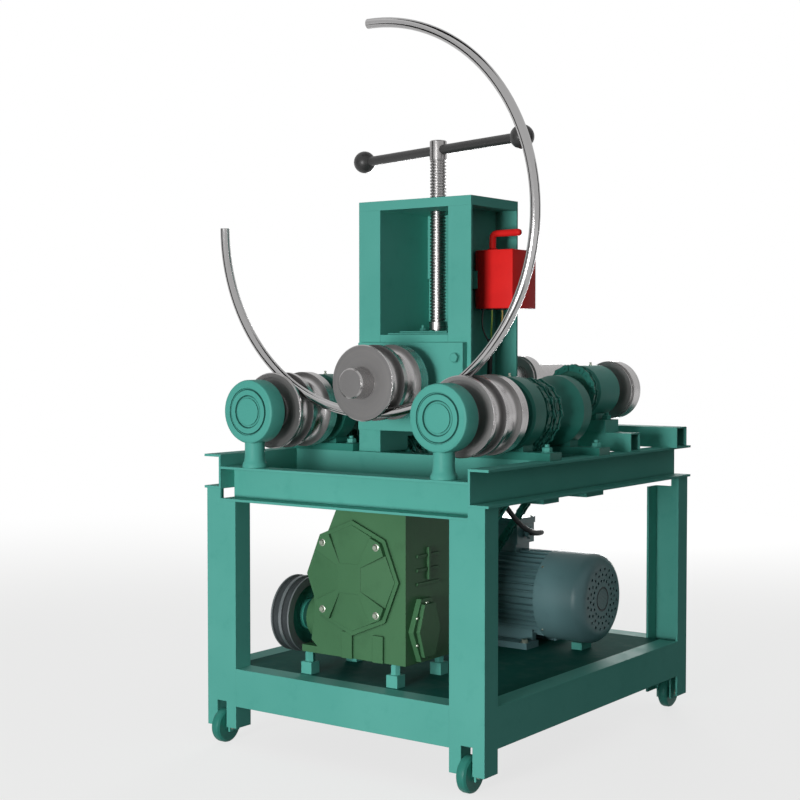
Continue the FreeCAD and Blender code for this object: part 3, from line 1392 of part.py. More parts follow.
def cable(label, points, radius):
    path, radii = tube_path(points)
    first = (Vector(*points[1]) - Vector(*points[0])).normalize()
    ring = Part.Wire(Part.makeCircle(radius.value, Vector(*points[0]), first))
    tube = path.makePipeShell([ring], True, False)
    share = tube.Volume / (math.pi * radius.value ** 2 * path.Length)
    print(label, "radii", [round(r) for r in radii], "volume over section times length", round(share, 4))
    return solid_feature(label, tube)


lead_y = depth(S.leadAt).value
lead_x = (POST_WEB + WALL + S.leadRadius + S.clearance).value + 6
lead_top = S.leadTop.value
gland_end = gland_at[0].value + 14
lead_start = (lead_x + 8, lead_y - 6, lead_top)
lead_points = [
    lead_start, (lead_x + 4, lead_y - 4, lead_top - 46),
    (lead_x, lead_y - 1, lead_top - 102), (lead_x + 0.5, lead_y, lead_top - 160),
    (lead_x, lead_y - 0.5, lead_top - 218), (lead_x + 3, lead_y + 2, lead_top - 272),
    (lead_x + 12, lead_y + 14, lead_top - 320), (lead_x + 25, lead_y + 40, lead_top - 362),
    (lead_x + 31, lead_y + 78, lead_top - 396), (lead_x + 30, lead_y + 118, lead_top - 414),
    (lead_x + 24, lead_y + 156, lead_top - 423),
    (gland_end + 44, gland_at[1].value - 20, gland_at[2].value + 8),
    (gland_end + 20, gland_at[1].value, gland_at[2].value),
    (gland_end, gland_at[1].value, gland_at[2].value),
]
core_end = lead_top - 6
switch_low = S.switchBottom.value - GAP.value
core_points = {
    # each core leaves the switch, hangs in a slack bow and goes into the lead
    "core_dark": [
        (lead_x + 4, lead_y - 30, switch_low), (lead_x + 2, lead_y - 32, switch_low - 22),
        (lead_x - 1, lead_y - 24, switch_low - 46), (lead_x + 5.6, lead_y - 9, core_end + 10),
        (lead_x + 6, lead_y - 7.6, core_end),
    ],
    "core_earth": [
        (lead_x + 24, lead_y - 26, switch_low), (lead_x + 25, lead_y - 27, switch_low - 20),
        (lead_x + 18, lead_y - 20, switch_low - 44), (lead_x + 10.4, lead_y - 8, core_end + 10),
        (lead_x + 10, lead_y - 7.6, core_end),
    ],
    "core_live": [
        (lead_x + 42, lead_y - 14, switch_low), (lead_x + 43, lead_y - 13, switch_low - 20),
        (lead_x + 30, lead_y - 6, switch_low - 46), (lead_x + 9, lead_y - 3.2, core_end + 10),
        (lead_x + 8, lead_y - 3.2, core_end),
    ],
}
wires = [cable("switch_lead", lead_points, S.leadRadius)]
wires += [cable(label, points, S.coreRadius) for label, points in core_points.items()]
node("wiring", fuse("wiring_loom", *wires))

# ---- bolts that hold the bearings to the table ----
bolts = []
for side, side_name in MIRROR_NAMES:
    x = side * RIGHT_X
    for at, extra, tag in ((S.midBaseAt, 0, "mid"), (S.domeBaseAt, 6, "dome")):
        for away, end in ((BASE_INNER + 22, "inner"), (BASE_OUTER + extra - 20, "outer")):
            bolts.append(hexagon(
                f"{tag}_bolt_{end}_{side_name}", S.boltAcross, S.boltHead,
                (side * away, depth(at + S.baseDepth / 2), TOP + S.baseWall),
            ))
    for away in (-1, 1):
        bolts.append(hexagon(
            f"rear_bolt_{side_name}_{away}".replace("-1", "2"), S.boltAcross, S.boltHead,
            (x + away * (S.rearBaseHalf - 11), depth(S.midTubeAt + S.midTubeDepth / 2),
             TOP + S.midTubeHeight + S.rearBaseHeight),
        ))
for x in (foot_left + S.motorBoltAcross, foot_right - S.motorBoltAcross):
    for away in (-1, 1):
        bolts.append(hexagon(
            f"motor_bolt_{x.value:.0f}_{away}".replace("-1", "2"), S.motorBoltAcross, S.boltHead,
            (x, motor_y + away * (S.motorFootOut - S.motorBoltAcross), S.floorTop + S.motorFootHeight),
        ))
node("table_bolts", *bolts, *cover_bolts)

doc.recompute()
troubles = [thing.Name for thing in doc.Objects if {"Invalid", "Error"} & set(thing.State)]
for name, thing in nodes.items():
    if thing.Label != name:
        troubles.append(f"{name} is labelled {thing.Label}")
    if thing.Shape.isNull() or not thing.Shape.isValid():
        troubles.append(name + " has no valid shape")
if troubles:
    sys.exit("not built: " + ", ".join(troubles))

os.makedirs("parts", exist_ok=True)
for name, thing in nodes.items():
    thing.Shape.exportStep(f"parts/{name}.step")
print(len(nodes), "nodes,", sum(len(thing.Shape.Solids) for thing in nodes.values()), "solids")
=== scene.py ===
import json
import math

import bmesh
import bpy
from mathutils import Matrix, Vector

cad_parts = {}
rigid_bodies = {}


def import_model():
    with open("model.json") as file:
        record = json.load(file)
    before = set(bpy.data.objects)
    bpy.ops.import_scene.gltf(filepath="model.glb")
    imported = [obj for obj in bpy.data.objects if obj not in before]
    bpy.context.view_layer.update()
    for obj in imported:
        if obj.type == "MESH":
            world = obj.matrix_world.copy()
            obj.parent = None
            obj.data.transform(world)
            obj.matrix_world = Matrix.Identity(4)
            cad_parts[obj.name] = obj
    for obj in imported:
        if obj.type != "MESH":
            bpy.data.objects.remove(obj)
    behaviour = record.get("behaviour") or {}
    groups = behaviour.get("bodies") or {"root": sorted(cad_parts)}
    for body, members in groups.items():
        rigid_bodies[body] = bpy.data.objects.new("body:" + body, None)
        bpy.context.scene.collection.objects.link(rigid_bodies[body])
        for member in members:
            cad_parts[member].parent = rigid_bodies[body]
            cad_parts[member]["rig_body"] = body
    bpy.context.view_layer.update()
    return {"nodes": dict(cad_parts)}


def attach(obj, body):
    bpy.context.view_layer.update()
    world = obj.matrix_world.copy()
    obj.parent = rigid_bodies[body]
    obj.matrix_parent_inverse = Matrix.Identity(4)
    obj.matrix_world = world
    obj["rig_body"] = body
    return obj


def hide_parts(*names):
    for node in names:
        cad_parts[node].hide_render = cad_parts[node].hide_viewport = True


# Electric three-roll tube bender. Metres, X to the operator's right, Y to the back, Z up.

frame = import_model()
nodes = frame["nodes"]

mm = 0.001
legFace = -0.431  # front face of the legs


def back(distance):
    return legFace + distance * mm


def mmPoint(x, y, z):
    return Vector((x * mm, y * mm, z * mm))


# ---- camera, floor and lamps
cameraSpot = {"place": (1.84296, -2.7413, 0.84066), "tilt": 87.93, "turn": 36.13, "lens": 67.07, "sensor": 36}
studio = {
    "floorSize": 60, "floorColour": "#E9E9E6", "floorBounce": "#303030", "floorGlow": 0.74, "floorFade": (1.4, 4.6),
    "ambient": 0.19, "shine": 0.80,
    "lamps": (
        # name, place, aim, width, power
        ("keyLamp", (0.5, -4.6, 0.5), (0, 0, 0.66), 1.4, 164),
        ("topLamp", (-0.9, -1.4, 4.2), (0, 0, 0.6), 2.4, 4),
        ("backLamp", (-1.9, 3.9, 0.5), (0, 0, 0.6), 1.8, 130),
    ),
    # dark cloths beside the machine, which only the polished metal shows
    "cloths": (
        # place, aim, wide, high
        ((2.40, 1.45, 1.0), (0, 0, 0.8), 1.2, 2.6),
        ((-2.11, -1.84, 1.0), (0, 0, 0.8), 1.2, 2.6),
        ((0.1, -0.3, 3.6), (0, -0.2, 0.8), 2.4, 1.2),
        ((1.2, -1.5, 0.02), (1.2, -1.5, 0), 1.6, 0.8),
    ),
}


def linearColour(text):
    # "#RRGGBB" as the renderer's own numbers
    parts = [int(text[n:n + 2], 16) / 255 for n in (1, 3, 5)]
    return tuple(p / 12.92 if p <= 0.04045 else ((p + 0.055) / 1.055) ** 2.4 for p in parts) + (1.0,)


def newObject(name, data, place=True):
    made = bpy.data.objects.new(name, data)
    if place:
        bpy.context.scene.collection.objects.link(made)
    return made


def aimAt(thing, place, aim):
    thing.location = place
    thing.rotation_euler = (Vector(aim) - Vector(place)).to_track_quat("-Z", "Y").to_euler()


class Wire:
    # A socket of a node tree that takes plain arithmetic.
    def __init__(self, board, end):
        self.board, self.end = board, end

    def maths(self, operation, *values):
        return self.board.node("ShaderNodeMath", {"operation": operation}, dict(enumerate(values)))

    def other(self, name):
        return Wire(self.board, self.end.node.outputs[name])

    def __add__(self, other):
        return self.maths("ADD", self, other)

    def __radd__(self, other):
        return self.maths("ADD", other, self)

    def __sub__(self, other):
        return self.maths("SUBTRACT", self, other)

    def __rsub__(self, other):
        return self.maths("SUBTRACT", other, self)

    def __mul__(self, other):
        return self.maths("MULTIPLY", self, other)

    def __rmul__(self, other):
        return self.maths("MULTIPLY", other, self)

    def __truediv__(self, other):
        return self.maths("DIVIDE", self, other)

    def __rtruediv__(self, other):
        return self.maths("DIVIDE", other, self)

    def __pow__(self, other):
        return self.maths("POWER", self, other)

    def __mod__(self, other):
        return self.maths("FLOORED_MODULO", self, other)

    def __gt__(self, other):
        return self.maths("GREATER_THAN", self, other)

    def __lt__(self, other):
        return self.maths("LESS_THAN", self, other)

    def __abs__(self):
        return self.maths("ABSOLUTE", self)

    def held(self, low=0.0, high=1.0):
        return self.maths("MAXIMUM", self.maths("MINIMUM", self, high), low)

    def ramp(self, low, high):
        # 0 at low, 1 at high, smooth between
        return self.board.node("ShaderNodeMapRange", {"interpolation_type": "SMOOTHSTEP"},
                               {"Value": self, "From Min": low, "From Max": high})


class Board:
    # A node tree, and the one way that nodes are added to it.
    def __init__(self, tree):
        self.tree = tree
        tree.nodes.clear()

    def node(self, kind, settings=None, values=None, out=0):
        made = self.tree.nodes.new(kind)
        for name, value in (settings or {}).items():
            if name == "stops":
                self.setStops(made.color_ramp, value)
            else:
                setattr(made, name, value)
        for name, value in (values or {}).items():
            if isinstance(value, Wire):
                self.tree.links.new(value.end, made.inputs[name])
            else:
                made.inputs[name].default_value = value
        return Wire(self, made.outputs[out]) if made.outputs else made

    def setStops(self, band, stops):
        while len(band.elements) < len(stops):
            band.elements.new(1.0)
        for element, (position, colour) in zip(band.elements, stops):
            element.position, element.color = position, linearColour(colour)

    def colours(self, share, one, two, mode="MIX"):
        one, two = [linearColour(c) if isinstance(c, str) else c for c in (one, two)]
        return self.node("ShaderNodeMix", {"data_type": "RGBA", "blend_type": mode}, {0: share, 6: one, 7: two}, out=2)

    def grain(self, place, scale, detail=2.0, rough=0.5, stretch=None):
        if stretch:
            place = self.node("ShaderNodeMapping", {}, {"Vector": place, "Scale": stretch})
        return self.node("ShaderNodeTexNoise", {}, {
            "Vector": place, "Scale": scale, "Detail": detail, "Roughness": rough}, out="Fac")

    def parts(self, vector):
        split = self.node("ShaderNodeSeparateXYZ", {}, {"Vector": vector})
        return split, split.other("Y"), split.other("Z")


# ---- finishes
finishes = {}


def startFinish(name):
    material = bpy.data.materials.new(name)
    material.use_nodes = True
    finishes[name] = material
    return Board(material.node_tree)


def endFinish(board, values, height=None, depth=0.0002, edge=0.0):
    # Puts the surface together. Height is a bump in metres, and edge rounds the arrises by eye.
    if height is not None or edge:
        bump = {"Strength": 1.0, "Distance": depth, "Height": 0.0 if height is None else height}
        if edge:
            bump["Normal"] = board.node("ShaderNodeBevel", {"samples": 4}, {"Radius": edge})
        values["Normal"] = board.node("ShaderNodeBump", {}, bump)
    surface = board.node("ShaderNodeBsdfPrincipled", {}, values)
    board.node("ShaderNodeOutputMaterial", {}, {"Surface": surface})


paints = {
    # colour, lit colour, hollow colour (also the tint of the painted shade in corners), cast roughness in metres, grain
    # size, gloss roughness, edge round, shine
    "framePaint": dict(base="#5AAEA1", high="#67BAAD", low="#3F9487", cast=0.00004, size=260, rough=0.60, edge=0.0012, shine=0.07),
    "bearingPaint": dict(base="#55AB9E", high="#62B6A9", low="#3A8A7D", cast=0.00022, size=210, rough=0.44, edge=0.0010, shine=0.10),
    "deepPaint": dict(base="#2F8073", high="#3C9183", low="#1A5D52", cast=0.00030, size=260, rough=0.44, edge=0.0010, shine=0.20),
    # floor plate: darker than the frame paint, as painted shade for the shade under the table
    "platePaint": dict(base="#1F5F57", high="#29695F", low="#184E46", cast=0.00005, size=240, rough=0.95, edge=0.0012, shine=0.03),
    "gearboxPaint": dict(base="#44734F", high="#52825C", low="#2F5439", cast=0.00030, size=240, rough=0.38, edge=0.0016, shine=0.18),
    "motorPaint": dict(base="#62878B", high="#6F9498", low="#40595B", cast=0.00008, size=300, rough=0.33, edge=0.0008, shine=0.42),
    "handlePaint": dict(base="#3B3B3B", high="#484848", low="#272727", cast=0.00006, size=420, rough=0.36, edge=0.0006, shine=0.3),
}


def paintFinish(name, base, high, low, cast, size, rough, edge, shine, hub=None, rings=None):
    # Brushed or sprayed enamel: it pools a little darker in places, dust dulls what faces up.
    board = startFinish(name)
    # colour of the painted corner shade, a darker hollow colour
    dark = tuple(0.16 * part for part in linearColour(low)[:3]) + (1.0,)
    place = board.node("ShaderNodeTexCoord", out="Object")
    facing = board.parts(board.node("ShaderNodeTexCoord", out="Normal"))[2]
    drift = board.grain(place, 3.2, 3.0, 0.6)
    cloud = board.grain(place, 21.0, 4.0, 0.65)
    fine = board.grain(place, size, 3.0, 0.55)
    colour = board.colours(drift.ramp(0.30, 0.72) * 0.55, base, high)
    colour = board.colours((1 - cloud.ramp(0.22, 0.50)) * 0.22, colour, low)
    # painted shade: the colour goes darker in the inner corners and creases, where the surface hides itself from the
    # light
    shadeOcclusion = board.node("ShaderNodeAmbientOcclusion", {"samples": 5, "only_local": True}, {"Distance": 0.009}, out="AO")
    colour = board.colours((1 - shadeOcclusion.ramp(0.30, 0.86)) * 0.62, colour, dark)
    dust = facing.ramp(0.75, 0.98) * cloud.ramp(0.45, 0.75) * 0.05
    colour = board.colours(dust, colour, "#B9C4BC")
    gloss = (rough + (cloud - 0.5) * 0.16 + dust * 1.2).held(0.2, 0.9)
    peel = board.grain(place, 95.0, 1.0, 0.4)
    if hub:
        # painted shade in the pressed groove round the middle of the cowl's end
        inner, outer, midY, midZ, fromX = hub
        x, y, z = board.parts(place)
        radius = ((y - midY) * (y - midY) + (z - midZ) * (z - midZ)) ** 0.5
        groove = (radius > inner) * (radius < outer) * (x > fromX)
        colour = board.colours(groove * 0.85, colour, "#182426")
        # painted shade: dark dots for the holes of the fine mesh let into the hub
        across, up = [abs((part % 0.0030) - 0.0015) for part in (y, z)]
        holeShadeDots = (across < 0.0009) * (up < 0.0009) * (radius < inner - 0.001) * (x > fromX)
        colour = board.colours(holeShadeDots * 0.8, colour, "#182426")
    if rings:
        # painted shade: dark lines in the turned grooves of the two round faces that look to the front
        away, height, shadeLineRadii, half = rings
        x, y, z = board.parts(place)
        across = abs(x) - away
        radius = (across * across + (z - height) * (z - height)) ** 0.5
        front = board.parts(board.node("ShaderNodeTexCoord", out="Normal"))[1] < -0.8
        for ring in shadeLineRadii:
            line = 1 - abs(radius - ring).ramp(half * 0.5, half)
            colour = board.colours(line * front * 0.78, colour, "#0F3F39")
    endFinish(board, {"Base Color": colour, "Roughness": gloss, "Specular IOR Level": shine},
              fine * 0.7 + peel * 0.3, cast, edge)


def turnedFinish(name, centre, colour, face, rough, axis="Y", edge=0.0006):
    # Steel from the lathe: rings of the tool round one axis, duller on the end faces.
    board = startFinish(name)
    place = board.node("ShaderNodeTexCoord", out="Object")
    moved = board.node("ShaderNodeMapping", {}, {"Vector": place, "Location": [-c for c in centre]})
    x, y, z = board.parts(moved)
    along, one, two = {"Y": (y, x, z), "X": (x, y, z), "Z": (z, x, y)}[axis]
    radius = (one * one + two * two) ** 0.5
    normal = dict(zip("XYZ", board.parts(board.node("ShaderNodeTexCoord", out="Normal"))))[axis]
    end = abs(normal).ramp(0.80, 0.97)
    track = board.node("ShaderNodeCombineXYZ", {}, {"X": radius * 1400, "Y": along * 1400, "Z": 0.0})
    rings = board.grain(track, 1.0, 2.0, 0.6)
    wide = board.node("ShaderNodeCombineXYZ", {}, {"X": radius * 190, "Y": along * 190, "Z": 0.0})
    bands = board.grain(wide, 1.0, 2.0, 0.5)
    smear = board.grain(place, 42.0, 4.0, 0.65)
    tint = board.colours(end, colour, face)
    tint = board.colours((bands.ramp(0.35, 0.7)) * 0.25, tint, "#8A8784")
    tint = board.colours((smear.ramp(0.62, 0.8)) * 0.16, tint, "#55504A")
    gloss = (rough + end * 0.22 + (bands - 0.5) * 0.14 + (smear - 0.5) * 0.12).held(0.06, 0.8)
    endFinish(board, {"Base Color": tint, "Metallic": 1.0, "Roughness": gloss}, rings, 0.000035, edge)


def drawnFinish(name, colour, rough, scratch):
    # Bright drawn tube: near mirror, with faint lines and finger marks.
    board = startFinish(name)
    place = board.node("ShaderNodeTexCoord", out="Object")
    marks = board.grain(place, 60.0, 5.0, 0.7)
    lines = board.grain(place, 900.0, 2.0, 0.5)
    tint = board.colours(marks.ramp(0.55, 0.8) * 0.25, colour, "#8E8A88")
    gloss = (rough + marks.ramp(0.5, 0.8) * 0.10).held(0.04, 0.6)
    endFinish(board, {"Base Color": tint, "Metallic": 1.0, "Roughness": gloss}, lines, scratch, 0.0)


def rubberFinish(name, colour, worn, rough):
    board = startFinish(name)
    place = board.node("ShaderNodeTexCoord", out="Object")
    fine = board.grain(place, 700.0, 3.0, 0.6)
    patch = board.grain(place, 30.0, 4.0, 0.6)
    tint = board.colours(patch.ramp(0.45, 0.75) * 0.5, colour, worn)
    endFinish(board, {"Base Color": tint, "Roughness": (rough + (patch - 0.5) * 0.2).held(0.2, 0.95),
                      "Specular IOR Level": 0.3}, fine, 0.00006, 0.0)


def switchFinish(name, colour, deep):
    # Red enamel on pressed sheet, with a soft orange peel.
    board = startFinish(name)
    place = board.node("ShaderNodeTexCoord", out="Object")
    patch = board.grain(place, 14.0, 3.0, 0.6)
    peel = board.grain(place, 260.0, 2.0, 0.5)
    tint = board.colours(patch.ramp(0.3, 0.7) * 0.4, colour, deep)
    endFinish(board, {"Base Color": tint, "Roughness": (0.40 + (patch - 0.5) * 0.12).held(0.2, 0.6),
                      "Specular IOR Level": 0.08}, peel, 0.00003, 0.0012)


def sightFinish(name, centre, glassRadius, oil, ring):
    # Oil behind glass inside a plated ring.
    board = startFinish(name)
    place = board.node("ShaderNodeTexCoord", out="Object")
    moved = board.node("ShaderNodeMapping", {}, {"Vector": place, "Location": [-c for c in centre]})
    x, _, z = board.parts(moved)
    inside = 1 - ((x * x + z * z) ** 0.5).ramp(glassRadius - 0.0004, glassRadius)
    full = 1 - z.ramp(0.0010, 0.0016)
    tint = board.colours(inside, ring, board.colours(full, "#D8DAD2", oil))
    endFinish(board, {"Base Color": tint, "Metallic": 1 - inside, "Roughness": 0.32 - inside * 0.24,
                      "Coat Weight": inside * 0.8, "Coat Roughness": 0.05}, board.grain(place, 400.0), 0.00001, 0.0)


def stripedFinish(name, colour, stripe, turns):
    # A core's coloured sheath. U runs round it and V along it.
    board = startFinish(name)
    u, v, _ = board.parts(board.node("ShaderNodeUVMap"))
    band = ((u + v * turns) % 1.0) > 0.62
    place = board.node("ShaderNodeTexCoord", out="Object")
    tint = board.colours(band, colour, stripe)
    endFinish(board, {"Base Color": tint, "Roughness": (0.38 + board.grain(place, 300.0) * 0.1).held()}, None, 0.0, 0.0)


def pulleyFinish(name, centre, rim, web, ringFrom, ringTo):
    # Turned grey rim, enamelled web and hub.
    board = startFinish(name)
    place = board.node("ShaderNodeTexCoord", out="Object")
    moved = board.node("ShaderNodeMapping", {}, {"Vector": place, "Location": [-c for c in centre]})
    x, y, z = board.parts(moved)
    radius = (y * y + z * z) ** 0.5
    onRim = radius.ramp(ringFrom, ringTo)
    onShaft = 1 - radius.ramp(0.0175, 0.0185)
    track = board.node("ShaderNodeCombineXYZ", {}, {"X": radius * 900, "Y": x * 900, "Z": 0.0})
    rings = board.grain(track, 1.0, 2.0, 0.6)
    cloud = board.grain(place, 26.0, 4.0, 0.6)
    tint = board.colours(onRim, board.colours(cloud.ramp(0.3, 0.7) * 0.4, web, "#1E5F53"), rim)
    tint = board.colours(onShaft, tint, "#9A9896")
    tint = board.colours(cloud.ramp(0.55, 0.75) * 0.2, tint, "#3B3A38")
    endFinish(board, {"Base Color": tint, "Metallic": (onRim * 0.55 + onShaft).held(),
                      "Roughness": (0.5 - onRim * 0.08 + (cloud - 0.5) * 0.2).held(0.2, 0.9)}, rings, 0.00004, 0.0006)


def shaftWheelFinish(name, centre, start, end, steel, paint):
    # A steel shaft whose sprocket, between two places along Y, is enamelled.
    board = startFinish(name)
    place = board.node("ShaderNodeTexCoord", out="Object")
    moved = board.node("ShaderNodeMapping", {}, {"Vector": place, "Location": [-c for c in centre]})
    x, y, z = board.parts(moved)
    radius = (x * x + z * z) ** 0.5
    painted = (y > start) * (y < end) * (radius > 0.0262)
    teeth = radius.ramp(0.050, 0.058) * painted
    track = board.node("ShaderNodeCombineXYZ", {}, {"X": radius * 1200, "Y": y * 1200, "Z": 0.0})
    rings = board.grain(track, 1.0, 2.0, 0.6)
    cloud = board.grain(place, 34.0, 4.0, 0.65)
    tint = board.colours(painted, steel, paint)
    tint = board.colours(teeth * cloud.ramp(0.35, 0.65) * 0.5, tint, "#1C4038")
    tint = board.colours(cloud.ramp(0.6, 0.8) * 0.25, tint, "#3A3631")
    endFinish(board, {"Base Color": tint, "Metallic": 1 - painted,
                      "Roughness": (0.3 + painted * 0.16 + (cloud - 0.5) * 0.2).held(0.1, 0.9)}, rings, 0.00004, 0.0006)


for paintName, paintLook in paints.items():
    paintFinish(paintName, **paintLook)
# cowl: motor paint, with painted shade in its hub groove and in the holes of the hub's mesh
paintFinish("cowlPaint", **{**paints["motorPaint"], "rough": 0.43}, hub=(0.0225, 0.0276, back(620), 0.278, 0.250))
# pedestals: the bearing paint, with painted shade lines in the turned grooves of their round faces
paintFinish("pedestalPaint", **paints["bearingPaint"], rings=(0.24, 0.704, (0.0335, 0.0465), 0.0018))
rubberFinish("beltRubber", "#363C3E", "#4A5154", 0.66)
rubberFinish("leadSheath", "#1D1D1E", "#2F2F30", 0.55)
rubberFinish("glandPlastic", "#26282A", "#34373A", 0.50)
switchFinish("switchRed", "#F52C2A", "#DA2223")
drawnFinish("brightTube", "#B2B1B1", 0.12, 0.000006)
drawnFinish("zincPlate", "#A7B0A2", 0.34, 0.00001)
sightFinish("oilGlassSight", (0.020, 0, 0.300), 0.0112, "#B8923C", "#8A9088")
stripedFinish("coreEarth", "#3E9A34", "#D8D45A", 26)
stripedFinish("coreLive", "#7A4A2A", "#C9BE55", 14)
stripedFinish("coreDark", "#17181A", "#202225", 0)
rollSpots = {
    "lower_roll_right": (0.24, 0, 0.704), "lower_roll_left": (-0.24, 0, 0.704),
    "rear_roll_right": (0.24, 0, 0.742), "rear_roll_left": (-0.24, 0, 0.742),
    "upper_roll_front": (0, 0, 0.765666), "upper_roll_rear": (0, 0, 0.765666), "upper_shaft": (0, 0, 0.765666),
}
for rollName, rollCentre in rollSpots.items():
    turnedFinish(rollName + "Steel", rollCentre, "#B4B2B2", "#7C7B7B", 0.28)
turnedFinish("screwSteel", (0, back(354.5), 0), "#A6A4A4", "#8A8886", 0.26, axis="Z")
turnedFinish("motorShaftSteel", (0, back(620), 0.278), "#9E9C9A", "#7C7A78", 0.3, axis="X")
for sideName, side, front, rear in (("right", 1, 328, 519), ("left", -1, 398, 501)):
    shaftWheelFinish(f"lower_shaft_{sideName}Mixed", (side * 0.24, 0, 0.704), back(front - 31), back(front + 31),
                     "#9C9896", "#2C7868")
    shaftWheelFinish(f"rear_shaft_{sideName}Mixed", (side * 0.24, 0, 0.742), back(rear - 8), back(rear + 8),
                     "#9C9896", "#2C7868")
shaftWheelFinish("output_shaftMixed", (0, 0, 0.373), back(290), back(530), "#8E8A88", "#2A5148")
pulleyFinish("worm_shaftMixed", (0, back(110), 0.275), "#7E8688", "#3FA08E", 0.060, 0.062)
pulleyFinish("motor_shaftMixed", (0, back(620), 0.278), "#6F7070", "#6F7070", 0.060, 0.062)
print("finishes:", len(finishes))

cadFinish = {
    "framePaint": ("leg_front_left", "leg_front_right", "leg_back_left", "leg_back_right", "side_beams", "front_beam",
                   "second_beam", "third_beam", "bottom_rails", "cross_tubes", "post_left",
                   "post_right", "column_header", "column_back_plate", "slide_keepers", "thrust_plates",
                   "caster_forks", "gearbox_blocks", "hanger_bearing", "table_bolts", "slide_bolts"),
    "bearingPaint": ("rear_bearings",),
    "pedestalPaint": ("pedestals",),
    "platePaint": ("floor_plate",),
    "deepPaint": ("mid_bearings", "dome_bearings", "wheel_front_left", "wheel_front_right", "wheel_back_left",
                  "wheel_back_right", "slide_block"),
    "gearboxPaint": ("gearbox_casing", "gearbox_cover", "worm_end_cap"),
    "motorPaint": ("motor_frame", "terminal_box"),
    "cowlPaint": ("motor_cowl",),
    "beltRubber": ("drive_belts",),
    "switchRed": ("switch_lever", "switch_box"),
    "leadSheath": ("wiring",),
    "screwSteel": ("lead_screw",),
    "brightTube": ("bent_tube",),
    "handlePaint": ("tommy_bar",),
    "worm_shaftMixed": ("worm_shaft",),
    "motor_shaftMixed": ("motor_shaft",),
}
for finishName, members in cadFinish.items():
    for member in members:
        for slot in nodes[member].material_slots:
            slot.material = finishes[finishName]
for member in rollSpots:
    for slot in nodes[member].material_slots:
        slot.material = finishes[member + "Steel"]
for member in ("lower_shaft_right", "lower_shaft_left", "rear_shaft_right", "rear_shaft_left", "output_shaft"):
    for slot in nodes[member].material_slots:
        slot.material = finishes[member + "Mixed"]
print("slots per node:", sorted({len(thing.material_slots) for thing in nodes.values()}))


# ---- mesh helpers
def latheShape(mesh, outline, centre, axis, steps=48):
    # A turned shape. The outline lists (distance along the axis, radius) from one end to the other.
    turn = Vector((0, 0, 1)).rotation_difference(Vector(axis))
    rings = []
    for along, radius in outline:
        count = 1 if radius == 0 else steps
        ring = []
        for n in range(count):
            angle = 2 * math.pi * n / steps
            spot = Vector((radius * math.cos(angle), radius * math.sin(angle), along))
            ring.append(mesh.verts.new(Vector(centre) + turn @ spot))
        rings.append(ring)
    for one, two in zip(rings, rings[1:]):
        for n in range(steps):
            following = (n + 1) % steps
            corners = [one[n % len(one)], one[following % len(one)], two[following % len(two)], two[n % len(two)]]
            corners = [c for k, c in enumerate(corners) if c not in corners[:k]]
            if len(corners) > 2:
                mesh.faces.new(corners)


def roundedBlock(mesh, low, high, radius, segments=2):
    # A block with rounded arrises, between two corners.
    made = bmesh.ops.create_cube(mesh, size=1.0)["verts"]
    low, high = Vector(low), Vector(high)
    for vertex in made:
        vertex.co = Vector(l + (c + 0.5) * (h - l) for l, h, c in zip(low, high, vertex.co))
    edges = {edge for vertex in made for edge in vertex.link_edges}
    if radius:
        bmesh.ops.bevel(mesh, geom=list(edges), offset=radius, segments=segments, affect="EDGES", profile=0.5)


def finishMesh(mesh, name, material, sharp=35):
    # Closes, turns outwards and shades a mesh that was built by hand.
    bmesh.ops.remove_doubles(mesh, verts=mesh.verts, dist=1e-6)
    bmesh.ops.recalc_face_normals(mesh, faces=mesh.faces)
    data = bpy.data.meshes.new(name)
    mesh.to_mesh(data)
    mesh.free()
    made = newObject(name, data)
    data.materials.append(finishes[material])
    data.shade_smooth()
    data.set_sharp_from_angle(angle=math.radians(sharp))
    return made


def boltMesh(name, across, high, washer=0.0, stud=0.0):
    # Hexagon head with a chamfered crown, on a washer, with the stud's end above a nut.
    mesh = bmesh.new()
    radius = across / math.sqrt(3)
    base = 0.0
    if washer:
        base = washer * 0.09
        latheShape(mesh, [(0, 0), (0, washer), (base * 0.8, washer), (base, washer - base * 0.3), (base, 0)],
                   (0, 0, 0), (0, 0, 1), 20)
    latheShape(mesh, [(base, 0), (base, radius), (base + high * 0.86, radius), (base + high, radius * 0.86),
                      (base + high, 0)], (0, 0, 0), (0, 0, 1), 6)
    if stud:
        top = base + high + stud
        latheShape(mesh, [(base + high * 0.9, 0), (base + high * 0.9, across * 0.28), (top - across * 0.05, across * 0.28),
                          (top, across * 0.22), (top, 0)], (0, 0, 0), (0, 0, 1), 12)
    bmesh.ops.recalc_face_normals(mesh, faces=mesh.faces)
    data = bpy.data.meshes.new(name)
    mesh.to_mesh(data)
    mesh.free()
    return newObject(name, data)


# ---- geometry nodes: one tree sets a piece at marked places, one sets pieces along a line
def newTree(name, inputs):
    tree = bpy.data.node_groups.new(name, "GeometryNodeTree")
    tree.is_modifier = True
    tree.interface.new_socket("Geometry", in_out="INPUT", socket_type="NodeSocketGeometry")
    for word, kind in inputs:
        tree.interface.new_socket(word, in_out="INPUT", socket_type="NodeSocket" + kind)
    tree.interface.new_socket("Geometry", in_out="OUTPUT", socket_type="NodeSocketGeometry")
    board = Board(tree)
    return tree, board, board.node("NodeGroupInput")


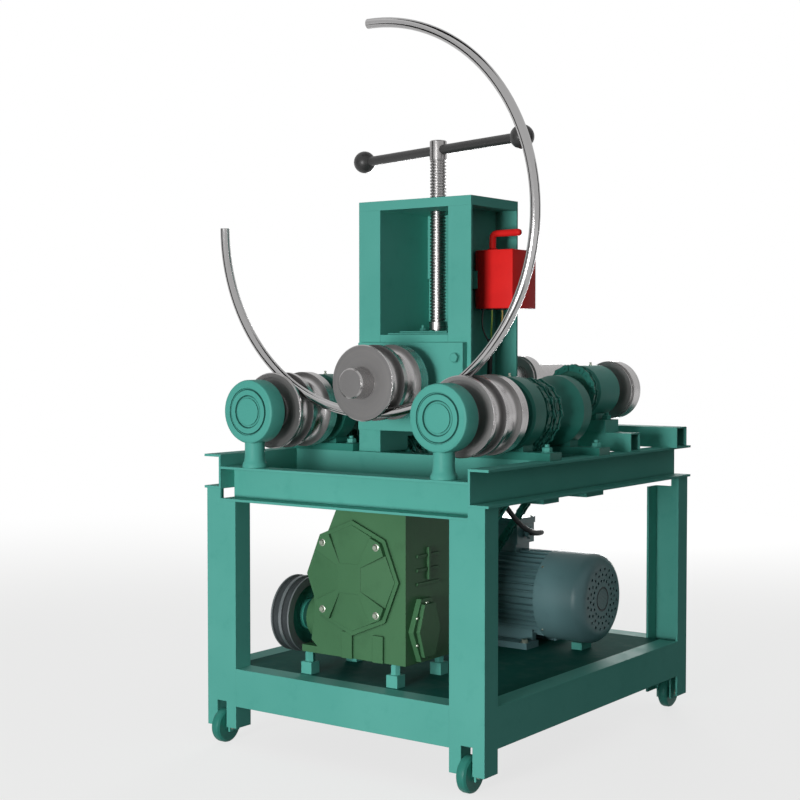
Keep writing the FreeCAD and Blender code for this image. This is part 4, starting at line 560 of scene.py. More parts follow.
def placedTree():
    # Sets Piece on each point of a carrier, its Z along the point's "facing", turned by Turn at random.
    tree, board, given = newTree("placedPieces", (("Piece", "Object"), ("Turn", "Float"), ("Size", "Float"),
                                                  ("Finish", "Material")))
    facing = board.node("GeometryNodeInputNamedAttribute", {"data_type": "FLOAT_VECTOR"}, {"Name": "facing"})
    spin = board.node("FunctionNodeRandomValue", {"data_type": "FLOAT"}, {2: 0.0, 3: given.other("Turn"), "Seed": 7}, out=1)
    own = board.node("ShaderNodeCombineXYZ", {}, {"Z": spin})
    lean = board.node("FunctionNodeAlignRotationToVector", {"axis": "Z"}, {"Vector": facing})
    turn = board.node("FunctionNodeRotateRotation", {"rotation_space": "LOCAL"}, {
        "Rotation": lean, "Rotate By": board.node("FunctionNodeEulerToRotation", {}, {0: own})})
    shape = board.node("GeometryNodeObjectInfo", {}, {"Object": given.other("Piece")}, out="Geometry")
    set_ = board.node("GeometryNodeInstanceOnPoints", {}, {
        "Points": given, "Instance": shape, "Rotation": turn, "Scale": given.other("Size")})
    real = board.node("GeometryNodeRealizeInstances", {}, {"Geometry": set_})
    dressed = board.node("GeometryNodeSetMaterial", {}, {"Geometry": real, "Material": given.other("Finish")})
    board.node("NodeGroupOutput", {}, {"Geometry": dressed})
    return tree


def linkTree():
    # Odd and even links in turn along a closed loop in the XZ plane, Count of them.
    tree, board, given = newTree("linksOnLoop", (("Count", "Int"), ("Odd Link", "Object"), ("Even Link", "Object"),
                                                 ("Finish", "Material")))
    loop = board.node("GeometryNodeMeshToCurve", {}, {"Mesh": given})
    even = board.node("GeometryNodeResampleCurve", {"mode": "COUNT"}, {"Curve": loop, "Count": given.other("Count")})
    spots = board.node("GeometryNodeCurveToPoints", {"mode": "EVALUATED"}, {"Curve": even})
    across = board.node("FunctionNodeAlignRotationToVector", {"axis": "X"}, {"Vector": spots.other("Tangent")})
    upright = board.node("FunctionNodeAlignRotationToVector", {"axis": "Y", "pivot_axis": "X"}, {
        "Rotation": across, "Vector": (0.0, 1.0, 0.0)})
    order = board.node("GeometryNodeInputIndex")
    odd = (order % 2.0) > 0.5
    halves = []
    for word, pick in (("Odd Link", odd), ("Even Link", 1 - odd)):
        shape = board.node("GeometryNodeObjectInfo", {}, {"Object": given.other(word)}, out="Geometry")
        halves.append(board.node("GeometryNodeInstanceOnPoints", {}, {
            "Points": spots, "Selection": pick, "Instance": shape, "Rotation": upright}))
    joined = board.node("GeometryNodeJoinGeometry", {}, {"Geometry": halves[0]})
    board.tree.links.new(halves[1].end, joined.end.node.inputs[0])
    real = board.node("GeometryNodeRealizeInstances", {}, {"Geometry": joined})
    dressed = board.node("GeometryNodeSetMaterial", {}, {"Geometry": real, "Material": given.other("Finish")})
    board.node("NodeGroupOutput", {}, {"Geometry": dressed})
    return tree


def beadTree():
    # Ripples of weld metal along each line of a carrier, Step apart and Wide across.
    tree, board, given = newTree("weldRipples", (("Step", "Float"), ("Wide", "Float"), ("Finish", "Material")))
    line = board.node("GeometryNodeMeshToCurve", {}, {"Mesh": given})
    even = board.node("GeometryNodeResampleCurve", {"mode": "LENGTH"}, {"Curve": line, "Length": given.other("Step")})
    spots = board.node("GeometryNodeCurveToPoints", {"mode": "EVALUATED"}, {"Curve": even})
    turn = board.node("FunctionNodeAlignRotationToVector", {"axis": "X"}, {"Vector": spots.other("Tangent")})
    ball = board.node("GeometryNodeMeshIcoSphere", {}, {"Radius": 0.5, "Subdivisions": 2})
    wide = board.node("FunctionNodeRandomValue", {"data_type": "FLOAT"}, {2: 0.86, 3: 1.12, "Seed": 3}, out=1)
    span = given.other("Wide") * wide
    size = board.node("ShaderNodeCombineXYZ", {}, {"X": given.other("Step") * 2.3, "Y": span, "Z": span * 0.85})
    set_ = board.node("GeometryNodeInstanceOnPoints", {}, {
        "Points": spots, "Instance": ball, "Rotation": turn, "Scale": size})
    real = board.node("GeometryNodeRealizeInstances", {}, {"Geometry": set_})
    smooth = board.node("GeometryNodeSetShadeSmooth", {}, {"Geometry": real})
    dressed = board.node("GeometryNodeSetMaterial", {}, {"Geometry": smooth, "Material": given.other("Finish")})
    board.node("NodeGroupOutput", {}, {"Geometry": dressed})
    return tree


trees = {"placed": placedTree(), "links": linkTree(), "beads": beadTree()}


def growPiece(carrier, tree, values):
    # Runs a tree on a carrier, keeps the plain mesh that it makes, and removes the modifier.
    grower = carrier.modifiers.new("grower", "NODES")
    grower.node_group = trees[tree]
    for item in trees[tree].interface.items_tree:
        if item.in_out == "INPUT" and item.name in values:
            grower[item.identifier] = values[item.name]
    bpy.context.view_layer.update()
    seen = carrier.evaluated_get(bpy.context.evaluated_depsgraph_get())
    data = bpy.data.meshes.new_from_object(seen)
    carrier.modifiers.clear()
    carrier.data = data
    return carrier


def markedPlaces(name, spots):
    # A carrier whose points say where each piece stands and which way it faces.
    data = bpy.data.meshes.new(name)
    data.from_pydata([tuple(spot) for spot, _ in spots], [], [])
    facing = data.attributes.new("facing", "FLOAT_VECTOR", "POINT")
    for n, (_, direction) in enumerate(spots):
        facing.data[n].vector = direction
    return newObject(name, data)


def setPieces(name, piece, spots, finish, body, turn=0.0, size=1.0, sharp=35):
    carrier = growPiece(markedPlaces(name, spots), "placed", {
        "Piece": piece, "Turn": turn, "Size": size, "Finish": finishes[finish]})
    bpy.data.objects.remove(piece)
    carrier.data.shade_smooth()
    carrier.data.set_sharp_from_angle(angle=math.radians(sharp))
    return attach(carrier, body)


# ---- turned and cast pieces: merged copies of the CAD shapes, shaded smooth up to an arris
smoothPieces = {
    # axis whose end faces stay flat: each node, and the angle in degrees past which its edges stay sharp
    "Y": {"upper_shaft": 30, "output_shaft": 30, "upper_roll_front": 24, "upper_roll_rear": 24, "lower_roll_right": 24,
          "lower_roll_left": 24, "rear_roll_right": 24, "rear_roll_left": 24, "lower_shaft_right": 30,
          "lower_shaft_left": 30, "rear_shaft_right": 30, "rear_shaft_left": 30, "pedestals": 30, "mid_bearings": 30,
          "dome_bearings": 24, "rear_bearings": 30, "hanger_bearing": 30},
    "X": {"worm_shaft": 30, "motor_shaft": 30, "drive_belts": 30, "wheel_front_left": 30,
          "wheel_front_right": 30, "wheel_back_left": 30, "wheel_back_right": 30},
    "Z": {"bent_tube": 40, "tommy_bar": 40},
}


def smoothCopy(node, sharp, axis):
    source = nodes[node]
    mesh = bmesh.new()
    mesh.from_mesh(source.data)
    bmesh.ops.remove_doubles(mesh, verts=mesh.verts, dist=2e-6)
    flat = {face: abs(face.normal["XYZ".index(axis)]) > 0.9995 for face in mesh.faces}
    for face in mesh.faces:
        face.smooth = True
    for edge in mesh.edges:
        level = {flat[face] for face in edge.link_faces}
        edge.smooth = len(level) < 2 and edge.calc_face_angle(0) < math.radians(sharp)
    words = node.split("_")
    data = bpy.data.meshes.new(words[0] + "".join(w.title() for w in words[1:]) + "Smooth")
    mesh.to_mesh(data)
    mesh.free()
    data.materials.append(source.material_slots[0].material)
    made = newObject(data.name, data)
    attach(made, source["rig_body"])
    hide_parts(node)
    return made


for flatAxis, members in smoothPieces.items():
    for smoothNode, smoothAngle in members.items():
        smoothCopy(smoothNode, smoothAngle, flatAxis)
print("smooth copies:", sum(len(members) for members in smoothPieces.values()))

# ---- switch: pressed case with a rolled front corner, and its bent lever
switchLook = {
    "left": 94.0, "right": 200.0, "front": 337.0, "back": 431.0, "low": 920.0, "top": 1043.0, "corner": 30.0,
    "fold": 1.4, "bossRadius": 13.0, "bossTop": 1047.0, "screwRadius": 2.6,
    # lever: distance along its bend, as x, z and radius
    "leverY": 370.0,
    "lever": (
        (130, 1047.4, 7.2), (130, 1060, 7.2), (130, 1068, 7.2), (131, 1073.5, 7.3), (134.5, 1077.6, 7.3), (140, 1079, 7.2),
        (160, 1079.3, 7.2), (182, 1079.4, 7.3), (190, 1079.4, 7.5), (195.5, 1079.4, 7.2), (199, 1079.4, 5.6),
        (200.6, 1079.4, 3.0),
    ),
}


def bentBar(mesh, spots, y, sides=26):
    # A round bar whose line stays in one XZ plane, closed at both ends.
    rings = []
    for n, (x, z, radius) in enumerate(spots):
        one, two = spots[max(n - 1, 0)], spots[min(n + 1, len(spots) - 1)]
        along = Vector((two[0] - one[0], 0, two[1] - one[1])).normalized()
        across = Vector((along.z, 0, -along.x))
        ring = []
        for k in range(sides):
            angle = 2 * math.pi * k / sides
            spot = Vector((x, 0, z)) + radius * (math.cos(angle) * across + math.sin(angle) * Vector((0, 1, 0)))
            ring.append(mesh.verts.new((spot.x * mm, y + spot.y * mm, spot.z * mm)))
        rings.append(ring)
    for one, two in zip(rings, rings[1:]):
        for k in range(sides):
            m = (k + 1) % sides
            mesh.faces.new((one[k], one[m], two[m], two[k]))
    mesh.faces.new(rings[0])
    mesh.faces.new(rings[-1])


def switchGear(look):
    corner, left, front = look["corner"], look["left"], look["front"]
    outline = [(left, look["back"]), (left, front + corner)]
    for n in range(1, 16):
        angle = math.radians(6 * n)
        outline.append((left + corner * (1 - math.cos(angle)), front + corner * (1 - math.sin(angle))))
    outline += [(look["right"], front), (look["right"], look["back"])]
    mesh = bmesh.new()
    rows = [[mesh.verts.new((x * mm, back(at), z * mm)) for x, at in outline] for z in (look["low"], look["top"])]
    count = len(outline)
    for n in range(count):
        m = (n + 1) % count
        mesh.faces.new((rows[0][n], rows[0][m], rows[1][m], rows[1][n]))
    mesh.faces.new(rows[0])
    mesh.faces.new(rows[1])
    bmesh.ops.recalc_face_normals(mesh, faces=mesh.faces)
    folds = [edge for edge in mesh.edges if edge.calc_face_angle(0) > math.radians(40)]
    bmesh.ops.bevel(mesh, geom=folds, offset=look["fold"] * mm, segments=3, affect="EDGES", profile=0.5)
    x, y = look["lever"][0][0] * mm, back(look["leverY"])
    boss = [(-1.0, 0), (-1.0, 14), (0.9, 14), (1.4, 13.4), (1.4, 11.6), (3.4, 11.2), (4.0, 10.4), (4.0, 0)]
    latheShape(mesh, [(a * mm, r * mm) for a, r in boss], (x, y, look["top"] * mm), (0, 0, 1), 36)
    case = finishMesh(mesh, "switchCase", "switchRed", 40)
    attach(case, "frame")
    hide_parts("switch_box")
    mesh = bmesh.new()
    bentBar(mesh, look["lever"], back(look["leverY"]))
    lever = finishMesh(mesh, "switchLeverBar", "switchRed", 50)
    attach(lever, "lever")
    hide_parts("switch_lever")
    # bushes under the case where the cores come out, and the case's back screws
    mesh = bmesh.new()
    for x, y in ((110.9, -68), (130.9, -64), (148.9, -52)):
        latheShape(mesh, [(-3.2 * mm, 0), (-3.2 * mm, 3.6 * mm), (-1.6 * mm, 4.4 * mm), (0.4 * mm, 5.0 * mm), (0.4 * mm, 0)],
                   (x * mm, y * mm, look["low"] * mm), (0, 0, 1), 20)
    bushes = finishMesh(mesh, "coreBushes", "glandPlastic", 35)
    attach(bushes, "frame")
    spots = [((x * mm, back(look["back"]) + 0.0001, z * mm), (0, 1, 0)) for x in (106, 188) for z in (932, 1031)]
    stock = screwMesh("switchScrewStock", look["screwRadius"] * mm, 1.6 * mm)
    setPieces("switchScrews", stock, spots, "zincPlate", "frame", turn=3.0)


def screwMesh(name, radius, high):
    # Pan-head screw with a slot across its crown.
    mesh = bmesh.new()
    latheShape(mesh, [(-high * 0.3, 0), (-high * 0.3, radius), (high * 0.45, radius), (high * 0.85, radius * 0.84),
                      (high, radius * 0.55), (high, 0)], (0, 0, 0), (0, 0, 1), 18)
    data = bpy.data.meshes.new(name)
    bmesh.ops.recalc_face_normals(mesh, faces=mesh.faces)
    mesh.to_mesh(data)
    mesh.free()
    return newObject(name, data)


switchGear(switchLook)
print("switch made")

# ---- motor cowl: a spun cup whose end is pierced by staggered rings of holes
cowlLook = {
    "midY": 620.0, "midZ": 278.0, "start": 141.0, "end": 262.0, "radius": 100.0, "wall": 2.5, "bend": 27.0, "holes": 20,
    "hole": 3.4, "rings": (34.5, 48.0, 61.0, 73.0), "groove": (27.0, 26.0, 24.0, 23.0), "grooveDeep": 1.3,
}


def cowlShell(look):
    mesh = bmesh.new()
    count = look["holes"] * 4
    step = 2 * math.pi / count
    end, wall, radius, bend = look["end"], look["wall"], look["radius"], look["bend"]

    def spot(x, r, turn):
        return mmPoint(x, r * math.cos(turn * step), look["midZ"] + r * math.sin(turn * step)) + Vector((0, back(look["midY"]), 0))

    def spun(outline):
        rows = [[mesh.verts.new(spot(x, r, n)) for n in range(count)] for x, r in outline]
        for one, two in zip(rows, rows[1:]):
            for n in range(count):
                m = (n + 1) % count
                mesh.faces.new((one[n], one[m], two[m], two[n]))
        return rows

    def rounded(out, bow):
        # the rolled corner, from the side to the end
        return [(end - bend + bow * math.sin(math.radians(a)), out - bend + bow * math.cos(math.radians(a)))
                for a in range(0, 91, 10)]

    rings = look["rings"]
    spun([(end - wall, rings[-1])] + [(x, r) for x, r in reversed(rounded(radius, bend - wall))]
         + [(look["start"], radius - wall), (look["start"], radius)] + rounded(radius, bend) + [(end, rings[-1])])
    one, two, three, four = look["groove"]
    low = end - look["grooveDeep"]
    for outline in ([(end, rings[0]), (end, one), (low, two), (low, three), (end, four), (end, 4.0)],
                    [(end - wall, rings[0]), (end - wall, 4.0)]):
        mesh.faces.new(spun(outline)[-1])
    for level, (inner, outer) in enumerate(zip(rings, rings[1:])):
        middle = (inner + outer) / 2
        for cell in range(look["holes"]):
            first = 4 * cell + 2 * level
            edge = [(inner, first + k) for k in range(4)]
            edge += [(inner + (outer - inner) * k / 4, first + 4) for k in range(4)]
            edge += [(outer, first + 4 - k) for k in range(4)]
            edge += [(outer - (outer - inner) * k / 4, first) for k in range(4)]
            walls = []
            for x in (end, end - wall):
                outside = [mesh.verts.new(spot(x, r, turn)) for r, turn in edge]
                inside = []
                for k in range(16):
                    angle = math.radians(225 + 22.5 * k)
                    out = middle + look["hole"] * math.sin(angle)
                    inside.append(mesh.verts.new(spot(x, out, first + 2 + look["hole"] * math.cos(angle) / out / step)))
                for k in range(16):
                    m = (k + 1) % 16
                    mesh.faces.new((outside[k], outside[m], inside[m], inside[k]))
                walls.append(inside)
            for k in range(16):
                m = (k + 1) % 16
                mesh.faces.new((walls[0][k], walls[0][m], walls[1][m], walls[1][k]))
    shell = finishMesh(mesh, "motorCowlShell", "cowlPaint", 35)
    print("cowl triangles", sum(len(p.vertices) - 2 for p in shell.data.polygons))
    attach(shell, "frame")
    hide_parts("motor_cowl")


cowlShell(cowlLook)

# ---- small fittings: screws, plugs, oil glass, grease nipples and axle nuts
fittingLook = {
    "capScrew": (3.4, 2.6), "cowlScrew": (3.2, 2.2), "lidScrew": (3.2, 2.0), "axleAcross": 13.0, "axleNut": 2.6,
    "nippleHigh": 9.0, "plugAcross": 17.0,
}


def smallFittings(look):
    cap = []
    for n in range(6):
        angle = math.radians(30 + 60 * n)
        high, wide = 54 * math.sin(angle), 38 * math.cos(angle)
        cap.append(((142 * mm, back(110 + wide), (275 + high) * mm), (1, 0, 0)))
    stock = screwMesh("capScrewStock", *(v * mm for v in look["capScrew"]))
    setPieces("capScrews", stock, cap, "zincPlate", "frame", turn=3.0)
    cowl = []
    for n in range(4):
        angle = math.radians(45 + 90 * n)
        out = (0, math.cos(angle), math.sin(angle))
        cowl.append(((149 * mm, back(620) + 0.0991 * out[1], (278 + 99.1 * out[2]) * mm), out))
    stock = screwMesh("cowlScrewStock", *(v * mm for v in look["cowlScrew"]))
    setPieces("cowlScrews", stock, cowl, "zincPlate", "frame", turn=3.0)
    lid = [((x * mm, back(at), 446.9 * mm), (0, 0, 1)) for x in (-25, 57) for at in (588, 652)]
    stock = screwMesh("lidScrewStock", *(v * mm for v in look["lidScrew"]))
    setPieces("lidScrews", stock, lid, "zincPlate", "frame", turn=3.0)
    # nuts on the caster pins
    pins = []
    for side in (-1, 1):
        for end in (-1, 1):
            for away in (-1, 1):
                x = side * 311 + away * 18.4
                pins.append(((x * mm, end * (431 - 12) * mm, 36 * mm), (away, 0, 0)))
    stock = boltMesh("axleNutStock", look["axleAcross"] * mm, look["axleNut"] * mm)
    setPieces("axleNuts", stock, pins, "zincPlate", "frame", turn=1.0)
    # grease nipples behind the bearings' crowns
    nipple = [(0, 0), (0, 3.6), (2.2, 3.6), (2.6, 2.2), (4.6, 2.0), (5.4, 2.9), (6.6, 2.9), (7.6, 1.4), (7.6, 0)]
    mesh = bmesh.new()
    latheShape(mesh, [(a * mm, r * mm) for a, r in nipple], (0, 0, 0), (0, 0, 1), 14)
    bmesh.ops.recalc_face_normals(mesh, faces=mesh.faces)
    data = bpy.data.meshes.new("nippleStock")
    mesh.to_mesh(data)
    mesh.free()
    spots = []
    for side in (-1, 1):
        spots.append(((side * 240 * mm, back(262), (704 + 74.6) * mm), (0, 0, 1)))
        spots.append(((side * 240 * mm, back(600), (742 + 55.6) * mm), (0, 0, 1)))
    setPieces("greaseNipples", newObject("nippleStock", data), spots, "zincPlate", "frame")
    # oil filler on the gearbox's top, oil glass and drain plug on its back
    mesh = bmesh.new()
    latheShape(mesh, [(a * mm, r * mm) for a, r in (
        (-1, 0), (-1, 15), (3, 15), (4, 14), (4, 10), (12, 10), (14, 8.5), (14, 0))],
        (0.045, back(150), 0.540), (0, 0, 1), 6)
    latheShape(mesh, [(a * mm, r * mm) for a, r in ((-1, 0), (-1, 11), (2.5, 11), (2.5, 8.6), (9, 8.6), (10.5, 7.2), (10.5, 0))],
               (0.020, back(228), 0.232), (0, 1, 0), 6)
    plugs = finishMesh(mesh, "oilPlugs", "gearboxPaint", 30)
    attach(plugs, "frame")
    mesh = bmesh.new()
    latheShape(mesh, [(a * mm, r * mm) for a, r in (
        (-1, 0), (-1, 17), (2.4, 17), (4, 15.6), (4, 11.6), (2.2, 11), (2.2, 0))], (0.020, back(228), 0.300), (0, 1, 0), 32)
    glass = finishMesh(mesh, "oilGlass", "oilGlassSight", 30)
    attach(glass, "frame")


smallFittings(fittingLook)
print("fittings set")

# ---- lead screw: trapezoidal thread, head, collar and spindle
screwLook = {
    "y": 354.5, "pitch": 7.0, "root": 15.0, "crest": 17.45, "bottom": 892.0, "top": 1243.0,
    "stepsPerTurn": 30, "head": 18.5, "headTop": 1284.0, "bodyFinish": "screwSteel",
}


def leadScrew(look):
    mesh = bmesh.new()
    steps, pitch = look["stepsPerTurn"], look["pitch"]
    low, high = look["bottom"] - 4, look["top"] + 3
    profile = [(0.0, look["root"]), (0.34, look["root"]), (0.46, look["crest"]), (0.86, look["crest"])]
    count = int((high - low) / pitch * steps)
    grid = []
    for n in range(count + 1):
        angle = 2 * math.pi * n / steps
        height = low + pitch * n / steps
        row = [mesh.verts.new(mmPoint(r * math.cos(angle), r * math.sin(angle), height + share * pitch))
               for share, r in profile + [(1.0, look["root"])]]
        grid.append(row)
    for one, two in zip(grid, grid[1:]):
        for n in range(len(profile)):
            mesh.faces.new((one[n], two[n], two[n + 1], one[n + 1]))
    bmesh.ops.remove_doubles(mesh, verts=mesh.verts, dist=1e-6)
    rim = [edge for edge in mesh.edges if edge.is_boundary]
    bmesh.ops.holes_fill(mesh, edges=rim, sides=0)
    for outline, steps in (
        ([(848.3, 0), (848.3, 23), (849.3, 24), (863.7, 24), (864.7, 23), (864.7, 13), (875, 13), (875, 19),
          (876, 20), (893, 20), (894, 19), (894, 0)], 48),
        ([(1242, 0), (1242, 17), (1243, 18.5), (1282, 18.5), (1284, 16.5), (1284, 3), (1282.5, 0)], 48),
    ):
        latheShape(mesh, [(along * mm, radius * mm) for along, radius in outline], (0, 0, 0), (0, 0, 1), steps)
    bmesh.ops.translate(mesh, vec=(0, back(look["y"]), 0), verts=mesh.verts)
    made = finishMesh(mesh, "leadScrewThread", look["bodyFinish"], 25)
    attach(made, "screw")
    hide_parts("lead_screw")


leadScrew(screwLook)
print("lead screw cut")

# ---- roller chains
chainLook = {
    "frontPitch": 25.4, "frontTeeth": 15, "rearPitch": 19.05, "rearTeeth": 17, "rearDriveTeeth": 11,
    "outputHeight": 373.0, "lowerHeight": 704.0, "rearHeight": 742.0, "reach": 240.0,
    "frontPlates": ((-29.9, -26.9), (-5.0, -2.0), (2.0, 5.0), (26.9, 29.9)),
    "frontInner": ((-26.5, -23.5), (-8.6, -5.6), (5.6, 8.6), (23.5, 26.5)),
    "frontRollers": ((-23.0, -9.0), (9.0, 23.0)), "frontHalf": 11.6, "frontRoller": 7.6, "frontPin": 3.9,
    "rearPlates": ((-7.3, -5.7), (5.7, 7.3)), "rearInner": ((-5.6, -4.45), (4.45, 5.6)),
    "rearRollers": ((-4.2, 4.2),), "rearHalf": 8.7, "rearRoller": 5.7, "rearPin": 2.7,
}


def loopPoints(near, nearRadius, far, farRadius, count=220):
    # A belt line round two wheels, in the XZ plane, evenly stepped from the far wheel's crown.
    run = (far - near).length
    lean = math.acos((nearRadius - farRadius) / run)
    heading = math.atan2(far.y - near.y, far.x - near.x)
    pieces = []
    straight = math.sqrt(run ** 2 - (nearRadius - farRadius) ** 2)
    farTurn, nearTurn = 2 * lean, 2 * math.pi - 2 * lean
    total = farRadius * farTurn + nearRadius * nearTurn + 2 * straight
    for n in range(count):
        s = total * n / count
        if s <= farRadius * lean:
            a = heading + s / farRadius
            pieces.append(far + farRadius * Vector((math.cos(a), math.sin(a))))
            continue
        s -= farRadius * lean
        a = heading + lean
        start = far + farRadius * Vector((math.cos(a), math.sin(a)))
        stop = near + nearRadius * Vector((math.cos(a), math.sin(a)))
        if s <= straight:
            pieces.append(start.lerp(stop, s / straight))
            continue
        s -= straight
        if s <= nearRadius * nearTurn:
            a = heading + lean + s / nearRadius
            pieces.append(near + nearRadius * Vector((math.cos(a), math.sin(a))))
            continue
        s -= nearRadius * nearTurn
        a = heading - lean
        start = near + nearRadius * Vector((math.cos(a), math.sin(a)))
        stop = far + farRadius * Vector((math.cos(a), math.sin(a)))
        if s <= straight:
            pieces.append(start.lerp(stop, s / straight))
            continue
        s -= straight
        a = heading - lean + s / farRadius
        pieces.append(far + farRadius * Vector((math.cos(a), math.sin(a))))
    return pieces, total


def linkPiece(name, pitch, half, plates, rollers, roller, pin, pinSpan):
    # One link lying along X: waisted side plates, and rollers or pins at its two ends.
    mesh = bmesh.new()
    for low, high in plates:
        ring = []
        for n in range(20):
            angle = 2 * math.pi * (n + 0.5) / 20
            side = 1 if math.cos(angle) > 0 else -1
            waist = 0.80 if abs(math.cos(angle)) < 0.35 else 1.0
            ring.append((side * pitch / 2 * (1 if waist == 1.0 else 0.35) + half * math.cos(angle) * waist,
                         half * math.sin(angle) * waist))
        rows = [[mesh.verts.new((x * mm, y * mm, z * mm)) for x, z in ring] for y in (low, high)]
        mesh.faces.new(rows[0])
        mesh.faces.new(rows[1][::-1])
        for n in range(20):
            m = (n + 1) % 20
            mesh.faces.new((rows[0][n], rows[0][m], rows[1][m], rows[1][n]))
    ends = (-pitch / 2 * mm, pitch / 2 * mm)
    for x in ends:
        for low, high in rollers:
            latheShape(mesh, [(low * mm, 0), (low * mm, roller * mm), (high * mm, roller * mm), (high * mm, 0)],
                       (x, 0, 0), (0, 1, 0), 14)
        if pin:
            latheShape(mesh, [(pinSpan[0] * mm, 0), (pinSpan[0] * mm, pin * mm), (pinSpan[1] * mm, pin * mm),
                              (pinSpan[1] * mm, 0)], (x, 0, 0), (0, 1, 0), 10)
    bmesh.ops.recalc_face_normals(mesh, faces=mesh.faces)
    data = bpy.data.meshes.new(name)
    mesh.to_mesh(data)
    mesh.free()
    return newObject(name, data)


def rollerChain(name, side, at, farHeight, farTeeth, nearTeeth, pitch, look, kind):
    near, far = Vector((0, look["outputHeight"])), Vector((side * look["reach"], farHeight))
    nearRadius = pitch / 2 / math.tan(math.pi / nearTeeth)
    farRadius = pitch / 2 / math.tan(math.pi / farTeeth)
    points, total = loopPoints(near, nearRadius, far, farRadius)
    count = 2 * round(total / pitch / 2)
    step = total / count
    # the first link's leading pin drops into the tooth gap nearest the crown
    gap = 2 * math.pi / farTeeth
    heading = math.atan2(far.y - near.y, far.x - near.x)
    seat = round(heading / gap) * gap
    shift = ((seat - heading) * farRadius - step / 2) / total * len(points)
    whole, part = math.floor(shift), shift - math.floor(shift)
    size = len(points)
    moved = [points[(n + whole) % size].lerp(points[(n + whole + 1) % size], part) for n in range(size)]
    data = bpy.data.meshes.new(name)
    data.from_pydata([(p.x * mm, back(at), p.y * mm) for p in moved], [(n, (n + 1) % size) for n in range(size)], [])
    carrier = newObject(name, data)
    span = (look[kind + "Plates"][0][0] + 0.0, look[kind + "Plates"][-1][1] - 0.0)
    outer = linkPiece(name + "Outer", step, look[kind + "Half"], look[kind + "Plates"], (), 0, look[kind + "Pin"], span)
    inner = linkPiece(name + "Inner", step, look[kind + "Half"] * 0.97, look[kind + "Inner"], look[kind + "Rollers"],
                      look[kind + "Roller"], 0, span)
    growPiece(carrier, "links", {"Count": count, "Odd Link": outer, "Even Link": inner,
                                 "Finish": finishes["deepPaint"]})
    for piece in (outer, inner):
        bpy.data.objects.remove(piece)
    carrier.data.shade_smooth()
    carrier.data.set_sharp_from_angle(angle=math.radians(32))
    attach(carrier, "frame")
    print(name, "links", count, "step", round(step, 2), "triangles", sum(len(p.vertices) - 2 for p in carrier.data.polygons))
    return carrier


for side, sideName, frontAt, rearAt in ((1, "Right", 328, 519), (-1, "Left", 398, 501)):
    front = rollerChain("frontChain" + sideName, side, frontAt, chainLook["lowerHeight"], chainLook["frontTeeth"],
                        chainLook["frontTeeth"], chainLook["frontPitch"], chainLook, "front")
    rear = rollerChain("rearChain" + sideName, side, rearAt, chainLook["rearHeight"], chainLook["rearTeeth"],
                       chainLook["rearDriveTeeth"], chainLook["rearPitch"], chainLook, "rear")
    if side > 0:
        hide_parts("front_chains")
        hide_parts("rear_chains")

# ---- bolts with washers and stud ends, in place of the plain ones
boltLook = {
    "across": 18.0, "head": 9.0, "washer": 12.5, "stud": 6.0, "coverAcross": 9.5, "coverHead": 4.5, "coverWasher": 7.6,
    "tableTop": 612.0, "baseWall": 16.0, "rearFoot": 679.0,
}


def tableBolts(look):
    spots = []
    high = (look["tableTop"] + look["baseWall"]) * mm
    up = (0, 0, 1)
    for side in (1, -1):
        for at, extra in ((246, 0), (438, 6)):
            for away in (150 + 22, 345 + extra - 20):
                spots.append(((side * away * mm, back(at + 23), high), up))
        for away in (-41, 41):
            spots.append(((side * 0.24 + away * mm, back(577 + 22), look["rearFoot"] * mm), up))
    stock = boltMesh("tableBoltStock", look["across"] * mm, look["head"] * mm, look["washer"] * mm, look["stud"] * mm)
    made = setPieces("tableBolts", stock, spots, "bearingPaint", "frame", turn=1.0)
    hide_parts("table_bolts")
    cover = [((x * 68 * mm, back(39), (373 + z * 68) * mm), (0, -1, 0)) for x in (-1, 1) for z in (-1, 1)]
    stock = boltMesh("coverBoltStock", look["coverAcross"] * mm, look["coverHead"] * mm, look["coverWasher"] * mm)
    setPieces("coverBolts", stock, cover, "zincPlate", "frame", turn=1.0)
    feet = [((x * mm, back(at), 187 * mm), up) for x in (-122, 98) for at in (65.5, 217.5)]
    stock = boltMesh("footNutStock", look["across"] * mm, 20.8 * mm, 0.0)
    setPieces("footNuts", stock, feet, "framePaint", "frame", turn=1.0)
    motor = [((x * mm, back(620 + away), 176 * mm), up) for x in (-27, 108) for away in (-79, 79)]
    stock = boltMesh("motorBoltStock", 13 * mm, 7 * mm, 10 * mm)
    setPieces("motorBolts", stock, motor, "zincPlate", "frame", turn=1.0)
    faceY = back(263) - 0.0003 - 0.0157
    keeper = [((x * 118 * mm, faceY, z * mm), (0, -1, 0)) for x in (-1, 1) for z in (691, 817)]
    stock = boltMesh("keeperBoltStock", look["across"] * mm, 8.0 * mm, 11.5 * mm)
    made = setPieces("keeperBolts", stock, keeper, "framePaint", "slide", turn=1.0)
    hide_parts("slide_bolts")


tableBolts(boltLook)
print("bolts set")

# ---- wiper strip along the top of the back keeper, which closes the gap under the column's back plate
stripLook = {"half": 128.0, "low": 984.8, "top": 994.5, "front": 15.8, "back": 30.0, "round": 1.2, "screws": (-96, 0, 96)}


def keeperStrip(look):
    mesh = bmesh.new()
    roundedBlock(mesh, mmPoint(-look["half"], look["front"], look["low"]),
                 mmPoint(look["half"], look["back"], look["top"]), look["round"] * mm)
    strip = finishMesh(mesh, "keeperStrip", "framePaint")
    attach(strip, "slide")
    spots = [(mmPoint(x, (look["front"] + look["back"]) / 2, look["top"]), (0, 0, 1)) for x in look["screws"]]
    setPieces("stripScrews", screwMesh("stripScrewStock", 3.2 * mm, 2.0 * mm), spots, "zincPlate", "slide", turn=3.0)


keeperStrip(stripLook)
print("keeper strip laid")

